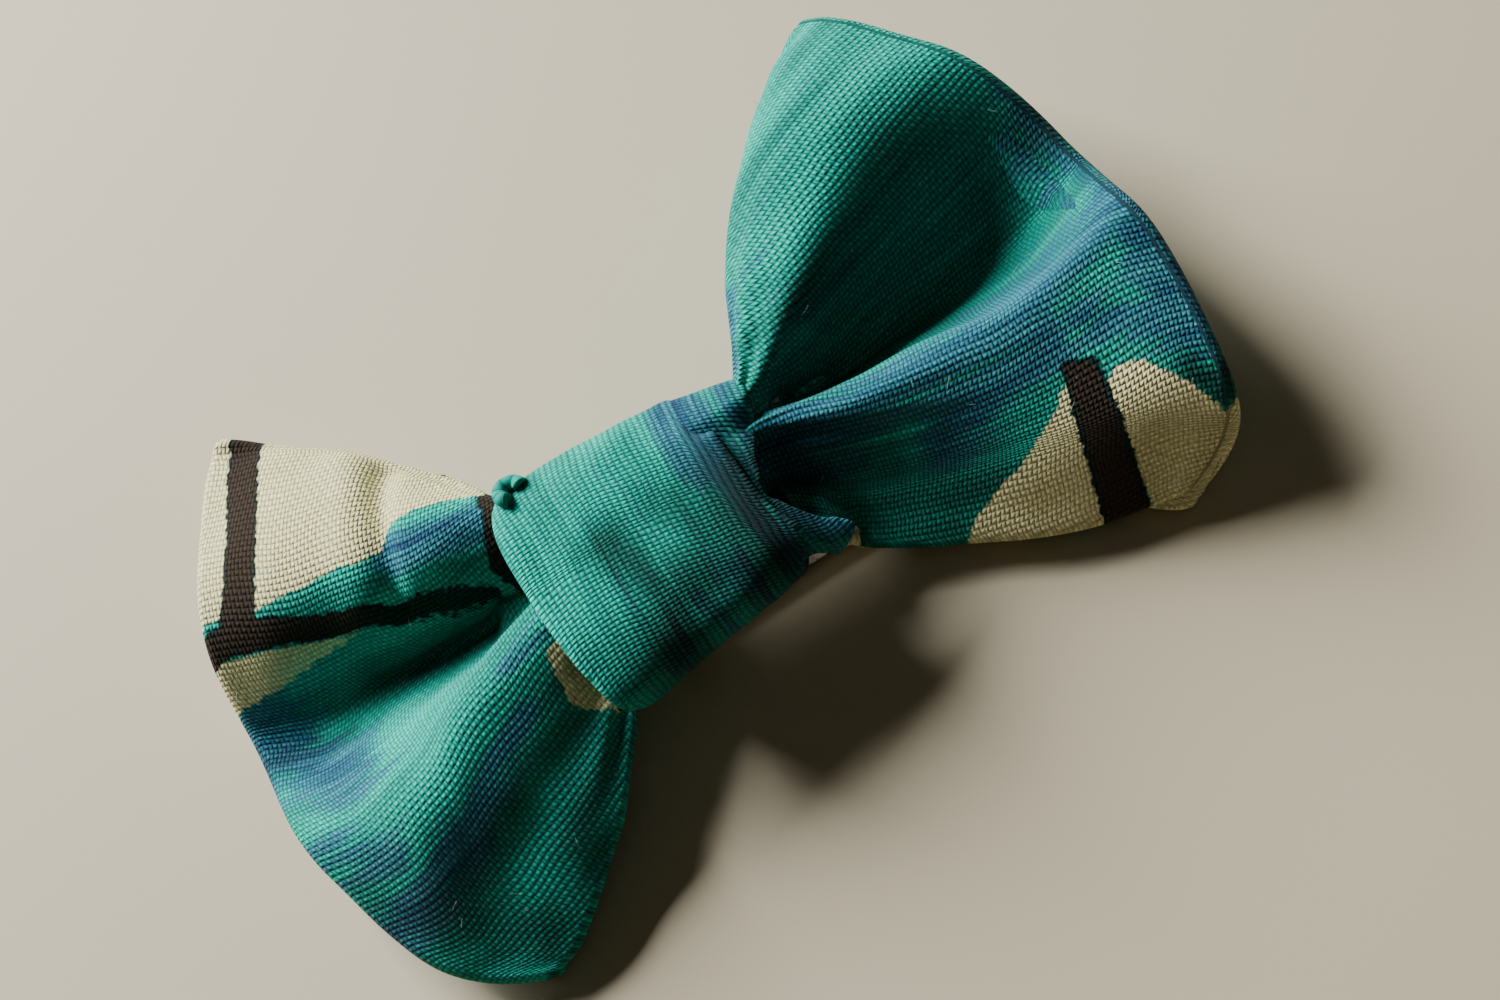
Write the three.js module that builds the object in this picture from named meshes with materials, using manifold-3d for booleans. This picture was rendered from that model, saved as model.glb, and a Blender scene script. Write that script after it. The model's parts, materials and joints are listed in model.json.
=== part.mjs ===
// A pre-tied clip-on bow tie, lying on its back, in millimetres.
// +X runs along the bow's width, +Y to its upper edge as worn, +Z out of its front.
// The origin is the middle of the clip lever's flat outer face, straight behind the knot.
import * as THREE from "three";
import { mergeVertices } from "three/addons/utils/BufferGeometryUtils.js";
import Module from "manifold-3d";

const wasm = await Module();
wasm.setup();

// ---------- driving dimensions ----------

const GAP = 0.3; // between pieces that touch in real life
const PLY = 0.6; // one ply of printed cotton
const HEM = 1.2; // turned edge: two plies
const INTERLINING = 0.4;

// Clip, stamped from sheet and riveted on a pin that runs along Y.
const SHEET = 0.7;
const EAR_CLEARANCE = 0.23; // between an ear's round end and the other plate
const LEVER_WIDTH = 11;
const LEVER_NOSE = 19;
const LEVER_TAIL = 16;
const CLIP_CORNER = 2.4;
const BASE_NOSE = 18.6;
const BASE_TAIL = 15.6;
const NOSE_LIP = 2.4;
const NOSE_BEND = 4;
const TOOTH = 0.5;
const TEETH = 5;
const PIN_X = -5;
const PIN_RADIUS = 0.8;
const PIN_HEAD_RADIUS = 1.3;
const PIN_HEAD = 0.5;
const PIN_CLEARANCE = 0.12;
const EAR_WALL = 0.75; // metal left round the pin hole
const EAR_FOOT = 3.2; // half length of an ear where it leaves its plate
const SPRING_WIRE = 0.5;
const SPRING_TURNS = 3;
const SPRING_LEG = 5.5;
const SPRING_CLEARANCE = 0.25; // coil on pin
const SPRING_WIDTH = 4.4;
const THREAD = 0.4;
const TACK_HOLE_RADIUS = 0.75;
const TACK_HOLE_SPACING = 3.2;
const TACK_NOSE_X = 9.5;
const TACK_TAIL_X = -12.2;

// Knot band: a ring of cloth round the waist, wider at its left end.
const KNOT_LEFT = -10.9;
const KNOT_RIGHT = 14.4;
const KNOT_HEM_WIDTH = 6;
const KNOT_SQUARENESS = 3.5; // exponent of the ring's superellipse
const KNOT_LEFT_FLARE = 1.4;
const KNOT_RIGHT_PINCH = 0.9;
const TACK_ROOM = 1.1; // between base plate and knot, where the tacking thread crosses

// Waist: the gathered middle of the bow, bound with thread.
const WAIST_HALF = 8.6;
const WAIST_PLIES = 4.0; // outer face of front panel to outer face of rear panel
const WAIST_EDGE_GAP = 0.1; // between the two panels' turned edges
const BINDING_THREAD = 0.8;
const BINDING_TURNS = 3;

// Wings. Each outer edge is a fold, through five points from the lower to the upper corner:
// the share of the wing's reach, the share of the nearer corner's height, the height above the table.
const RIGHT_WING = {
  side: 1,
  reach: 55.4, // from the knot's centre
  upperCorner: 40,
  lowerCorner: 24.3,
  fanStart: KNOT_RIGHT,
  upperBulge: 6,
  edge: [
    [0.82, -1, 3.4],
    [0.995, -0.33, 12],
    [1, 0.2, 12.5],
    [0.93, 0.55, 17],
    [0.7, 1, 13.5],
  ],
};
const LEFT_WING = {
  side: -1,
  reach: 47.4,
  upperCorner: 40,
  lowerCorner: 28,
  fanStart: -KNOT_LEFT - 1.4,
  upperBulge: 2,
  edge: [
    [0.62, -1, 2.2],
    [0.92, -0.48, 8.5],
    [1, 0.15, 7.5],
    [0.95, 0.6, 8.5],
    [0.76, 1, 9],
  ],
};
const FOLD_RADIUS = 1.5; // of the outer edge, measured on the cloth's outside
const KNOT_EDGE_WAVE = 1.2; // height of the pleats where they leave the knot
const MID_WING_WAVE = 4.2;
const MID_WING_DEPTH = 7.0; // front panel to rear panel in the middle of a wing
const MID_WING_DROP = 0.6; // of the front panel's middle height below the waist's
const REAR_WAVE_SHARE = 0.18; // the rear panel lies flatter than the front
const OPENING_LENGTH = 10; // over which the pleats open once clear of the knot
const HEM_SHARE = 0.3; // how much of each half of the strip its turned edge covers

// ---------- values that follow ----------

const EAR_RADIUS = PIN_RADIUS + PIN_CLEARANCE + EAR_WALL;
const PLATE_SPACING = 2 * (EAR_RADIUS + EAR_CLEARANCE); // lever to base plate
const PIN_Z = SHEET + PLATE_SPACING / 2;
const BASE_Z = SHEET + PLATE_SPACING; // underside of the base plate
const KNOT_BACK_Z = BASE_Z + SHEET + TACK_ROOM;
const RING_STEP = GAP + PLY + GAP + INTERLINING; // waist binding to outside of knot band
const BINDING_OUT = GAP + BINDING_THREAD;
const KNOT_HALF_Y = WAIST_HALF + BINDING_OUT + RING_STEP + GAP;
const KNOT_HALF_Z = WAIST_PLIES / 2 + BINDING_OUT + RING_STEP + GAP;
const KNOT_Z = KNOT_BACK_Z + KNOT_HALF_Z;
const KNOT_X = (KNOT_LEFT + KNOT_RIGHT) / 2;
const WAIST_FRONT_Z = KNOT_Z + WAIST_PLIES / 2;
const WAIST_LEAN = (WAIST_PLIES - 2 * HEM - WAIST_EDGE_GAP) / 2; // of each panel's edges to the other

// ---------- helpers ----------

const smooth = (t) => {
  const c = Math.min(1, Math.max(0, t));
  return c * c * (3 - 2 * c);
};

// A geometry as a manifold-3d solid.
function solid(geometry) {
  const bare = geometry.clone();
  bare.deleteAttribute("normal");
  bare.deleteAttribute("uv");
  const merged = mergeVertices(bare, 1e-4);
  const vertProperties = merged.attributes.position.array;
  const triVerts = new Uint32Array(merged.index.array);
  return new wasm.Manifold(new wasm.Mesh({ numProp: 3, vertProperties, triVerts }));
}

// A manifold-3d solid as a geometry.
function geometryOf(made) {
  const mesh = made.getMesh();
  const geometry = new THREE.BufferGeometry();
  geometry.setAttribute("position", new THREE.BufferAttribute(mesh.vertProperties, 3));
  geometry.setIndex(new THREE.BufferAttribute(mesh.triVerts, 1));
  geometry.computeVertexNormals();
  return geometry;
}

// A closed surface from a grid of points that joins up in both directions.
function ringSurface(rows, columns, pointAt) {
  const positions = [];
  const index = [];
  for (let i = 0; i < rows; i++) {
    for (let j = 0; j < columns; j++) {
      positions.push(...pointAt(i, j).toArray());
      const a = i * columns + j;
      const b = i * columns + ((j + 1) % columns);
      const c = ((i + 1) % rows) * columns + j;
      const d = ((i + 1) % rows) * columns + ((j + 1) % columns);
      index.push(a, b, c, b, d, c);
    }
  }
  const geometry = new THREE.BufferGeometry();
  geometry.setAttribute("position", new THREE.Float32BufferAttribute(positions, 3));
  geometry.setIndex(index);
  geometry.computeVertexNormals();
  return geometry;
}

// A round wire or thread along a curve with two ends.
function wire(curve, diameter, steps, sides = 5) {
  const section = new THREE.Shape();
  for (let i = 0; i < sides; i++) {
    const a = (i / sides) * 2 * Math.PI;
    const [x, y] = [(Math.cos(a) * diameter) / 2, (Math.sin(a) * diameter) / 2];
    if (i) section.lineTo(x, y);
    else section.moveTo(x, y);
  }
  return new THREE.ExtrudeGeometry(section, { steps, extrudePath: curve });
}

// A curve from a function of t from 0 to 1.
class FormulaCurve extends THREE.Curve {
  constructor(pointAt) {
    super();
    this.pointAt = pointAt;
  }

  getPoint(t, target = new THREE.Vector3()) {
    return target.copy(this.pointAt(t));
  }
}

// A shape drawn in X and Z, made solid between two values of Y.
function sidePlate(points, yLow, yHigh) {
  const shape = new THREE.Shape(points.map(([x, z]) => new THREE.Vector2(x, z)));
  const geometry = new THREE.ExtrudeGeometry(shape, { depth: yHigh - yLow, bevelEnabled: false });
  geometry.rotateX(Math.PI / 2);
  geometry.translate(0, yHigh, 0);
  return solid(geometry);
}

// A rounded rectangle in plan, made solid between two heights.
function planPlate(xLow, xHigh, width, corner, zLow, zHigh) {
  const half = width / 2;
  const shape = new THREE.Shape();
  shape.moveTo(xLow + corner, -half);
  shape.lineTo(xHigh - corner, -half);
  shape.absarc(xHigh - corner, -half + corner, corner, -Math.PI / 2, 0, false);
  shape.lineTo(xHigh, half - corner);
  shape.absarc(xHigh - corner, half - corner, corner, 0, Math.PI / 2, false);
  shape.lineTo(xLow + corner, half);
  shape.absarc(xLow + corner, half - corner, corner, Math.PI / 2, Math.PI, false);
  shape.lineTo(xLow, -half + corner);
  shape.absarc(xLow + corner, -half + corner, corner, Math.PI, 1.5 * Math.PI, false);
  const depth = zHigh - zLow;
  const geometry = new THREE.ExtrudeGeometry(shape, { depth, bevelEnabled: false, curveSegments: 6 });
  geometry.translate(0, 0, zLow);
  return solid(geometry);
}

// A cylinder along Y through the pin's centre, for the pin's holes.
function pinHole(yLow, yHigh) {
  const radius = PIN_RADIUS + PIN_CLEARANCE;
  const geometry = new THREE.CylinderGeometry(radius, radius, yHigh - yLow, 20);
  geometry.translate(PIN_X, (yLow + yHigh) / 2, PIN_Z);
  return solid(geometry);
}

// The side view of an ear: a round end about the pin on a wider foot at height footZ.
function earOutline(footZ) {
  const up = footZ < PIN_Z ? 1 : -1;
  const points = [[PIN_X - EAR_FOOT, footZ]];
  for (let i = 0; i <= 8; i++) {
    const a = Math.PI * (1 - i / 8);
    points.push([PIN_X + EAR_RADIUS * Math.cos(a), PIN_Z + up * EAR_RADIUS * Math.sin(a)]);
  }
  points.push([PIN_X + EAR_FOOT, footZ]);
  return up > 0 ? points.reverse() : points;
}

// ---------- the bow's cloth ----------

function foldedEdge(wing) {
  const points = wing.edge.map(([out, up, z]) => {
    const y = up * (up < 0 ? wing.lowerCorner : wing.upperCorner);
    return new THREE.Vector3(out * wing.reach, y, z);
  });
  return new THREE.CatmullRomCurve3(points);
}

const wingCurves = new Map([RIGHT_WING, LEFT_WING].map((wing) => [wing, foldedEdge(wing)]));

// Pleat height across the strip, from -1 in the valley to 1 on the ridges; v is -1 at the
// lower edge and 1 at the upper edge.
function pleat(v) {
  const a = Math.abs(v);
  if (a < 0.5) return -Math.cos(2 * Math.PI * a);
  return 0.35 + 0.65 * Math.cos(2 * Math.PI * (a - 0.5));
}

// Outer face of the front or rear panel: s is 0 at the waist and 1 at a wing's folded edge.
function panelPoint(wing, s, v, rear) {
  const outer = wingCurves.get(wing).getPoint((v + 1) / 2);
  const x = s * outer.x;
  const fan = Math.max(0, (x - wing.fanStart) / (outer.x - wing.fanStart));
  const spread = fan * smooth(0.35 + fan);
  const bulge = wing.upperBulge * Math.max(0, v) ** 3 * Math.sin(Math.PI * Math.min(1, fan));
  const y = WAIST_HALF * v * (1 - spread) + outer.y * spread + bulge;

  const open = smooth((x - wing.fanStart) / OPENING_LENGTH); // 0 in the knot, 1 in the open wing
  const out = smooth((x - wing.fanStart) / (outer.x - wing.fanStart)); // 1 at the folded edge
  const inKnot = 0.1 + 0.9 * smooth(x / wing.fanStart);
  const wave = KNOT_EDGE_WAVE * inKnot * (1 - open) + MID_WING_WAVE * open;
  const middle = WAIST_FRONT_Z - MID_WING_DROP * open;
  const lean = WAIST_LEAN * v ** 4 * (1 - open);
  if (!rear) {
    const front = middle + wave * pleat(v) - lean;
    return new THREE.Vector3(wing.side * x, y, front * (1 - out) + (outer.z + FOLD_RADIUS) * out);
  }
  const apart = WAIST_PLIES * (1 - open) + MID_WING_DEPTH * open;
  const rearWave = wave * (1 + (REAR_WAVE_SHARE - 1) * open);
  const back = middle - apart + rearWave * pleat(v) + lean;
  return new THREE.Vector3(wing.side * x, y, back * (1 - out) + (outer.z - FOLD_RADIUS) * out);
}

const STATIONS = 13; // along each panel, knot centre to folded edge
const FOLD_STEPS = 4;

// One turn round the loop of cloth: front panel from right to left, then back behind.
function loopStations() {
  const front = [];
  const rear = [];
  for (let i = STATIONS; i > 0; i--) front.push({ wing: RIGHT_WING, s: i / STATIONS });
  for (let i = 0; i <= STATIONS; i++) front.push({ wing: LEFT_WING, s: i / STATIONS });
  for (const at of [...front].reverse()) rear.push({ ...at, rear: true });
  const fold = (wing) => {
    const steps = [];
    for (let i = 1; i < FOLD_STEPS; i++) steps.push({ wing, s: 1, turn: (i / FOLD_STEPS) * Math.PI });
    return steps;
  };
  const backwards = fold(RIGHT_WING).reverse();
  return [...front, ...fold(LEFT_WING), ...rear, ...backwards];
}

// The point of the loop at a station, on the cloth's outer face.
function loopPoint(at, v) {
  if (at.turn === undefined) return panelPoint(at.wing, at.s, v, Boolean(at.rear));
  const top = panelPoint(at.wing, 1, v, false);
  const bottom = panelPoint(at.wing, 1, v, true);
  const inner = panelPoint(at.wing, 0.96, v, false);
  const outward = top.clone().sub(inner).setZ(0).normalize();
  const centre = top.clone().add(bottom).multiplyScalar(0.5);
  const half = top.clone().sub(bottom).multiplyScalar(0.5);
  centre.addScaledVector(half, Math.cos(at.turn));
  return centre.addScaledVector(outward, FOLD_RADIUS * Math.sin(at.turn));
}

const stations = loopStations();

// The unit normal of the loop at station i, pointing into the loop.
function loopInward(i, v) {
  const count = stations.length;
  const ahead = loopPoint(stations[(i + 1) % count], v);
  const behind = loopPoint(stations[(i + count - 1) % count], v);
  const above = loopPoint(stations[i], Math.min(1, v + 0.06));
  const below = loopPoint(stations[i], Math.max(-1, v - 0.06));
  return ahead.sub(behind).cross(above.sub(below)).normalize();
}

// A row of points across the strip as [v, depth from the outer face].
function acrossStrip(reach, depth, divisions) {
  const row = [];
  for (let i = 0; i <= divisions; i++) row.push([reach * ((2 * i) / divisions - 1), depth]);
  return row;
}

function loopOfCloth(section) {
  return ringSurface(stations.length, section.length, (i, j) => {
    const [v, depth] = section[j];
    return loopPoint(stations[i], v).addScaledVector(loopInward(i, v), depth);
  });
}

// One ply, with both long edges turned in.
function bowCloth() {
  const inner = 1 - HEM_SHARE;
  const middle = 1 - HEM_SHARE / 2;
  const step = 0.01; // the cut edge of the turning, as a share of the half strip
  const turning = [1, middle, inner + step].map((v) => [v, HEM]);
  const otherTurning = turning.map(([v, depth]) => [-v, depth]).reverse();
  const face = acrossStrip(1, 0, 16);
  const back = acrossStrip(inner, PLY, 12).reverse();
  return loopOfCloth([...face, ...turning, ...back, ...otherTurning]);
}

// The interlining lies inside the ply, between the turned edges.
function bowInterlining() {
  const reach = 1 - HEM_SHARE - 0.06;
  const top = acrossStrip(reach, PLY + GAP, 10);
  const bottom = acrossStrip(reach, PLY + GAP + INTERLINING, 10).reverse();
  return loopOfCloth([...top, ...bottom]);
}

// The thread that sews the strip's lapped ends together, on the rear panel inside the knot.
function lapStitch() {
  const pointAt = (t) => {
    const v = -0.75 + 1.5 * t;
    const point = panelPoint(RIGHT_WING, 0.1, v, true);
    point.x += 0.9 * Math.sin(t * 14 * Math.PI);
    point.z -= GAP + THREAD / 2 + 0.15;
    return point;
  };
  return wire(new FormulaCurve(pointAt), THREAD, 42);
}

// ---------- the knot ----------

// A point on a ring round the waist; out is the distance outside the knot band's middle.
function ringPoint(x, angle, out) {
  const along = (x - KNOT_X) / (KNOT_RIGHT - KNOT_X);
  const flare = along < 0 ? KNOT_LEFT_FLARE * along * along : -KNOT_RIGHT_PINCH * along * along;
  const power = 2 / KNOT_SQUARENESS;
  const [c, s] = [Math.cos(angle), Math.sin(angle)];
  const y = (KNOT_HALF_Y + flare + out) * Math.sign(c) * Math.abs(c) ** power;
  const z = (KNOT_HALF_Z + flare * 0.25 + out) * Math.sign(s) * Math.abs(s) ** power;
  return new THREE.Vector3(x, y, KNOT_Z + z);
}

// A band round the waist from its [x, depth] section.
function ringBand(section, segments) {
  return ringSurface(section.length, segments, (i, j) => {
    const [x, depth] = section[i];
    return ringPoint(x, ((j + 0.5) / segments) * 2 * Math.PI, -depth);
  });
}

function knotBand() {
  const hem = KNOT_HEM_WIDTH;
  const edge = 0.35; // the cloth's rounding over its folded edges
  const section = [
    [KNOT_LEFT, HEM / 2],
    [KNOT_LEFT + edge, 0.1],
    [KNOT_LEFT + hem, 0],
    [KNOT_X, 0],
    [KNOT_RIGHT - hem, 0],
    [KNOT_RIGHT - edge, 0.1],
    [KNOT_RIGHT, HEM / 2],
    [KNOT_RIGHT - edge, HEM],
    [KNOT_RIGHT - hem, HEM],
    [KNOT_RIGHT - hem - 0.05, PLY],
    [KNOT_LEFT + hem + 0.05, PLY],
    [KNOT_LEFT + hem, HEM],
    [KNOT_LEFT + edge, HEM],
  ];
  return ringBand(section, 44);
}

function knotInterlining() {
  const [left, right] = [KNOT_LEFT + KNOT_HEM_WIDTH + GAP + 0.1, KNOT_RIGHT - KNOT_HEM_WIDTH - GAP - 0.1];
  const section = [
    [left, PLY + GAP],
    [right, PLY + GAP],
    [right, PLY + GAP + INTERLINING],
    [left, PLY + GAP + INTERLINING],
  ];
  return ringBand(section, 44);
}

function waistBinding() {
  const depth = RING_STEP + GAP + BINDING_THREAD / 2;
  const pitch = BINDING_THREAD + 0.15;
  const pointAt = (t) => {
    const x = (t - 0.5) * BINDING_TURNS * pitch;
    return ringPoint(x, t * BINDING_TURNS * 2 * Math.PI, -depth);
  };
  return wire(new FormulaCurve(pointAt), BINDING_THREAD, 28 * BINDING_TURNS);
}

// Whip stitches over the lapped ends of the band, on the back of the knot beside the clip.
function knotClosingStitch() {
  const pointAt = (t) => {
    const x = KNOT_LEFT + 2 + t * (KNOT_RIGHT - KNOT_LEFT - 4);
    const angle = -Math.PI * 0.29 + 0.09 * Math.sin(t * 18 * Math.PI);
    return ringPoint(x, angle, GAP + THREAD / 2 + 0.1);
  };
  return wire(new FormulaCurve(pointAt), THREAD, 72);
}

// ---------- the clip ----------

const BASE_WIDTH = LEVER_WIDTH - 2 * SHEET - 2 * GAP;

function clipBase() {
  const lipZ = SHEET + GAP + TOOTH;
  const bend = BASE_NOSE - NOSE_LIP - NOSE_BEND;
  const top = BASE_Z + SHEET;
  const profile = [
    [-BASE_TAIL, BASE_Z],
    [bend, BASE_Z],
    [BASE_NOSE - NOSE_LIP, lipZ],
    [BASE_NOSE, lipZ],
    [BASE_NOSE, lipZ + SHEET],
    [BASE_NOSE - NOSE_LIP + SHEET / 2, lipZ + SHEET],
    [bend + SHEET / 2, top],
    [-BASE_TAIL, top],
  ];
  const half = BASE_WIDTH / 2;
  let made = sidePlate(profile, -half, half);
  made = made.intersect(planPlate(-BASE_TAIL, BASE_NOSE, BASE_WIDTH, CLIP_CORNER - SHEET, -1, top + 1));
  for (const side of [-1, 1]) {
    const [low, high] = side < 0 ? [-half, -half + SHEET] : [half - SHEET, half];
    made = made.add(sidePlate(earOutline(BASE_Z + SHEET / 2), low, high));
  }
  const pitch = (BASE_WIDTH - 2 * (CLIP_CORNER - SHEET)) / TEETH;
  for (let i = 0; i < TEETH; i++) {
    const y = (i - (TEETH - 1) / 2) * pitch;
    const tooth = new THREE.ConeGeometry(pitch / 2, TOOTH + SHEET / 2, 4);
    tooth.rotateX(-Math.PI / 2);
    tooth.translate(BASE_NOSE - pitch / 2 - 0.2, y, lipZ + (SHEET / 2 - TOOTH) / 2);
    made = made.add(solid(tooth));
  }
  made = made.subtract(pinHole(-half - 1, half + 1));
  for (const x of [TACK_NOSE_X, TACK_TAIL_X]) {
    for (const y of [-TACK_HOLE_SPACING / 2, TACK_HOLE_SPACING / 2]) {
      const hole = new THREE.CylinderGeometry(TACK_HOLE_RADIUS, TACK_HOLE_RADIUS, 3 * SHEET, 16);
      hole.rotateX(Math.PI / 2);
      hole.translate(x, y, BASE_Z + SHEET / 2);
      made = made.subtract(solid(hole));
    }
  }
  return geometryOf(made);
}

function clipLever() {
  const half = LEVER_WIDTH / 2;
  let made = planPlate(-LEVER_TAIL, LEVER_NOSE, LEVER_WIDTH, CLIP_CORNER, 0, SHEET);
  for (const side of [-1, 1]) {
    const [low, high] = side < 0 ? [-half, -half + SHEET] : [half - SHEET, half];
    made = made.add(sidePlate(earOutline(SHEET / 2), low, high));
  }
  return geometryOf(made.subtract(pinHole(-half - 1, half + 1)));
}

function clipPin() {
  const half = LEVER_WIDTH / 2 + GAP;
  const profile = [
    [0, -half - PIN_HEAD],
    [PIN_HEAD_RADIUS * 0.75, -half - PIN_HEAD],
    [PIN_HEAD_RADIUS, -half - PIN_HEAD * 0.4],
    [PIN_HEAD_RADIUS, -half],
    [PIN_RADIUS, -half],
    [PIN_RADIUS, half],
    [PIN_HEAD_RADIUS, half],
    [PIN_HEAD_RADIUS, half + PIN_HEAD * 0.4],
    [PIN_HEAD_RADIUS * 0.75, half + PIN_HEAD],
    [0, half + PIN_HEAD],
  ];
  return new THREE.LatheGeometry(profile.map(([r, y]) => new THREE.Vector2(r, y)), 20);
}

// Torsion spring: a leg along the lever, the coil round the pin, a leg under the base plate.
function clipSpring() {
  const radius = PIN_RADIUS + SPRING_CLEARANCE + SPRING_WIRE / 2;
  const coil = (SPRING_TURNS + 0.5) * 2 * Math.PI * radius;
  const total = coil + 2 * SPRING_LEG;
  const pointAt = (t) => {
    const length = t * total;
    if (length < SPRING_LEG) {
      return new THREE.Vector3(PIN_X + length - SPRING_LEG, -SPRING_WIDTH / 2, PIN_Z - radius);
    }
    if (length > SPRING_LEG + coil) {
      return new THREE.Vector3(PIN_X - (length - SPRING_LEG - coil), SPRING_WIDTH / 2, PIN_Z + radius);
    }
    const share = (length - SPRING_LEG) / coil;
    const angle = -Math.PI / 2 + (share * coil) / radius;
    const x = PIN_X + radius * Math.cos(angle);
    return new THREE.Vector3(x, (share - 0.5) * SPRING_WIDTH, PIN_Z + radius * Math.sin(angle));
  };
  return wire(new FormulaCurve(pointAt), SPRING_WIRE, 80, 6);
}

// A tacking thread tied in a ring through a pair of the base plate's holes.
function clipTack(x) {
  const halfY = TACK_HOLE_SPACING / 2;
  const halfZ = SHEET / 2 + GAP + THREAD / 2;
  const sides = 6;
  return ringSurface(24, sides, (i, j) => {
    const angle = (i / 24) * 2 * Math.PI;
    const around = (-j / sides) * 2 * Math.PI;
    const [c, s] = [Math.cos(angle), Math.sin(angle)];
    const out = new THREE.Vector3(0, c / halfY, s / halfZ).normalize();
    const y = halfY * Math.sign(c) * Math.abs(c) ** 0.5;
    const z = halfZ * Math.sign(s) * Math.abs(s) ** 0.5;
    const point = new THREE.Vector3(x, y, BASE_Z + SHEET / 2 + z);
    point.addScaledVector(out, (THREAD / 2) * Math.cos(around));
    point.x += (THREAD / 2) * Math.sin(around);
    return point;
  });
}

// ---------- the assembly ----------

const material = (color, roughness, metalness = 0) =>
  new THREE.MeshStandardMaterial({ color, roughness, metalness });
const PRINTED_COTTON = () => material(0x1c8f86, 0.9);
const KNOT_COTTON = () => material(0x239c8d, 0.9);
const WOVEN_INTERLINING = () => material(0xd8d3c4, 0.95);
const TEAL_THREAD = () => material(0x2c6f72, 0.8);
const NICKELLED_STEEL = () => material(0xc9c7c1, 0.3, 1);
const SPRING_STEEL = () => material(0x9a9c9e, 0.35, 1);

const bow = new THREE.Group();

function piece(name, geometry, finish, parent = bow) {
  const mesh = new THREE.Mesh(geometry, finish);
  mesh.name = name;
  parent.add(mesh);
  return mesh;
}

piece("bow_cloth", bowCloth(), PRINTED_COTTON());
piece("bow_interlining", bowInterlining(), WOVEN_INTERLINING());
piece("bow_lap_stitch", lapStitch(), TEAL_THREAD());
piece("waist_binding", waistBinding(), TEAL_THREAD());
piece("knot_band", knotBand(), KNOT_COTTON());
piece("knot_interlining", knotInterlining(), WOVEN_INTERLINING());
piece("knot_closing_stitch", knotClosingStitch(), TEAL_THREAD());

const clip = new THREE.Group();
bow.add(clip);
piece("clip_base", clipBase(), NICKELLED_STEEL(), clip);
piece("clip_lever", clipLever(), NICKELLED_STEEL(), clip);
piece("clip_pin", clipPin(), SPRING_STEEL(), clip).position.set(PIN_X, 0, PIN_Z);
piece("clip_spring", clipSpring(), SPRING_STEEL(), clip);
piece("clip_tack_nose", clipTack(TACK_NOSE_X), TEAL_THREAD(), clip);
piece("clip_tack_tail", clipTack(TACK_TAIL_X), TEAL_THREAD(), clip);

export default bow;
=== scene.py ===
"""A pre-tied clip-on bow tie in printed cotton, lying on its back.

Lengths are metres unless a name says mm.
"""

import json
import logging
import math
from dataclasses import dataclass, field
from enum import Enum

import bmesh
import bpy
import numpy as np
from mathutils import Matrix, Vector

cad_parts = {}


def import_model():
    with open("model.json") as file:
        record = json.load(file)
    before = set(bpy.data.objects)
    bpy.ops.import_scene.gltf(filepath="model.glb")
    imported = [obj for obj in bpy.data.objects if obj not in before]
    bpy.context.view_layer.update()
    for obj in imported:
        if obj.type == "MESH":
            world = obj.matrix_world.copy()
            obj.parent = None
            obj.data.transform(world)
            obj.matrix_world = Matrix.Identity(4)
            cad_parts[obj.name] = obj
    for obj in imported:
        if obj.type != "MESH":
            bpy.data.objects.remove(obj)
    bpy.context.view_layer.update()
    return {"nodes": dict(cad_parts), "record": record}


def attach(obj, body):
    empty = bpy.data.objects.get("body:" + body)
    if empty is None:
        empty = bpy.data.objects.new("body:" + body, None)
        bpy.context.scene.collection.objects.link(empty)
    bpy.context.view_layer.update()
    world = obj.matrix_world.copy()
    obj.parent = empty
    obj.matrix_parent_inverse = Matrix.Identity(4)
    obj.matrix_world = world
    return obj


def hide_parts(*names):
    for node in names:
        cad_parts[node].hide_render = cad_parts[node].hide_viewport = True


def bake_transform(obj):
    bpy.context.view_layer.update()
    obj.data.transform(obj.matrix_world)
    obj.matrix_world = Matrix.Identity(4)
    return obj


LOG = logging.getLogger("bow_tie")
MM = 0.001
Place = tuple[float, float]
Point = tuple[float, float, float]
Outline = tuple[Place, ...]
Wash = tuple[float, float, float, float, float, float]
Material = bpy.types.Material
Object = bpy.types.Object
Socket = bpy.types.NodeSocket
Tree = bpy.types.NodeTree

# ---------- small helpers ----------


def linear(code: str, alpha: float = 1.0) -> tuple[float, float, float, float]:
    """Turns an sRGB hex colour into linear RGBA.

    Args:
        code: the colour as "#rrggbb".
        alpha: its opacity.

    Returns:
        Linear red, green, blue and alpha.
    """
    parts = [int(code[i : i + 2], 16) / 255 for i in (1, 3, 5)]
    red, green, blue = (c / 12.92 if c <= 0.04045 else ((c + 0.055) / 1.055) ** 2.4 for c in parts)
    return red, green, blue, alpha


def smooth(t: np.ndarray | float) -> np.ndarray:
    """Smoothstep of t, held between 0 and 1."""
    c = np.clip(t, 0.0, 1.0)
    return c * c * (3 - 2 * c)


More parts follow.
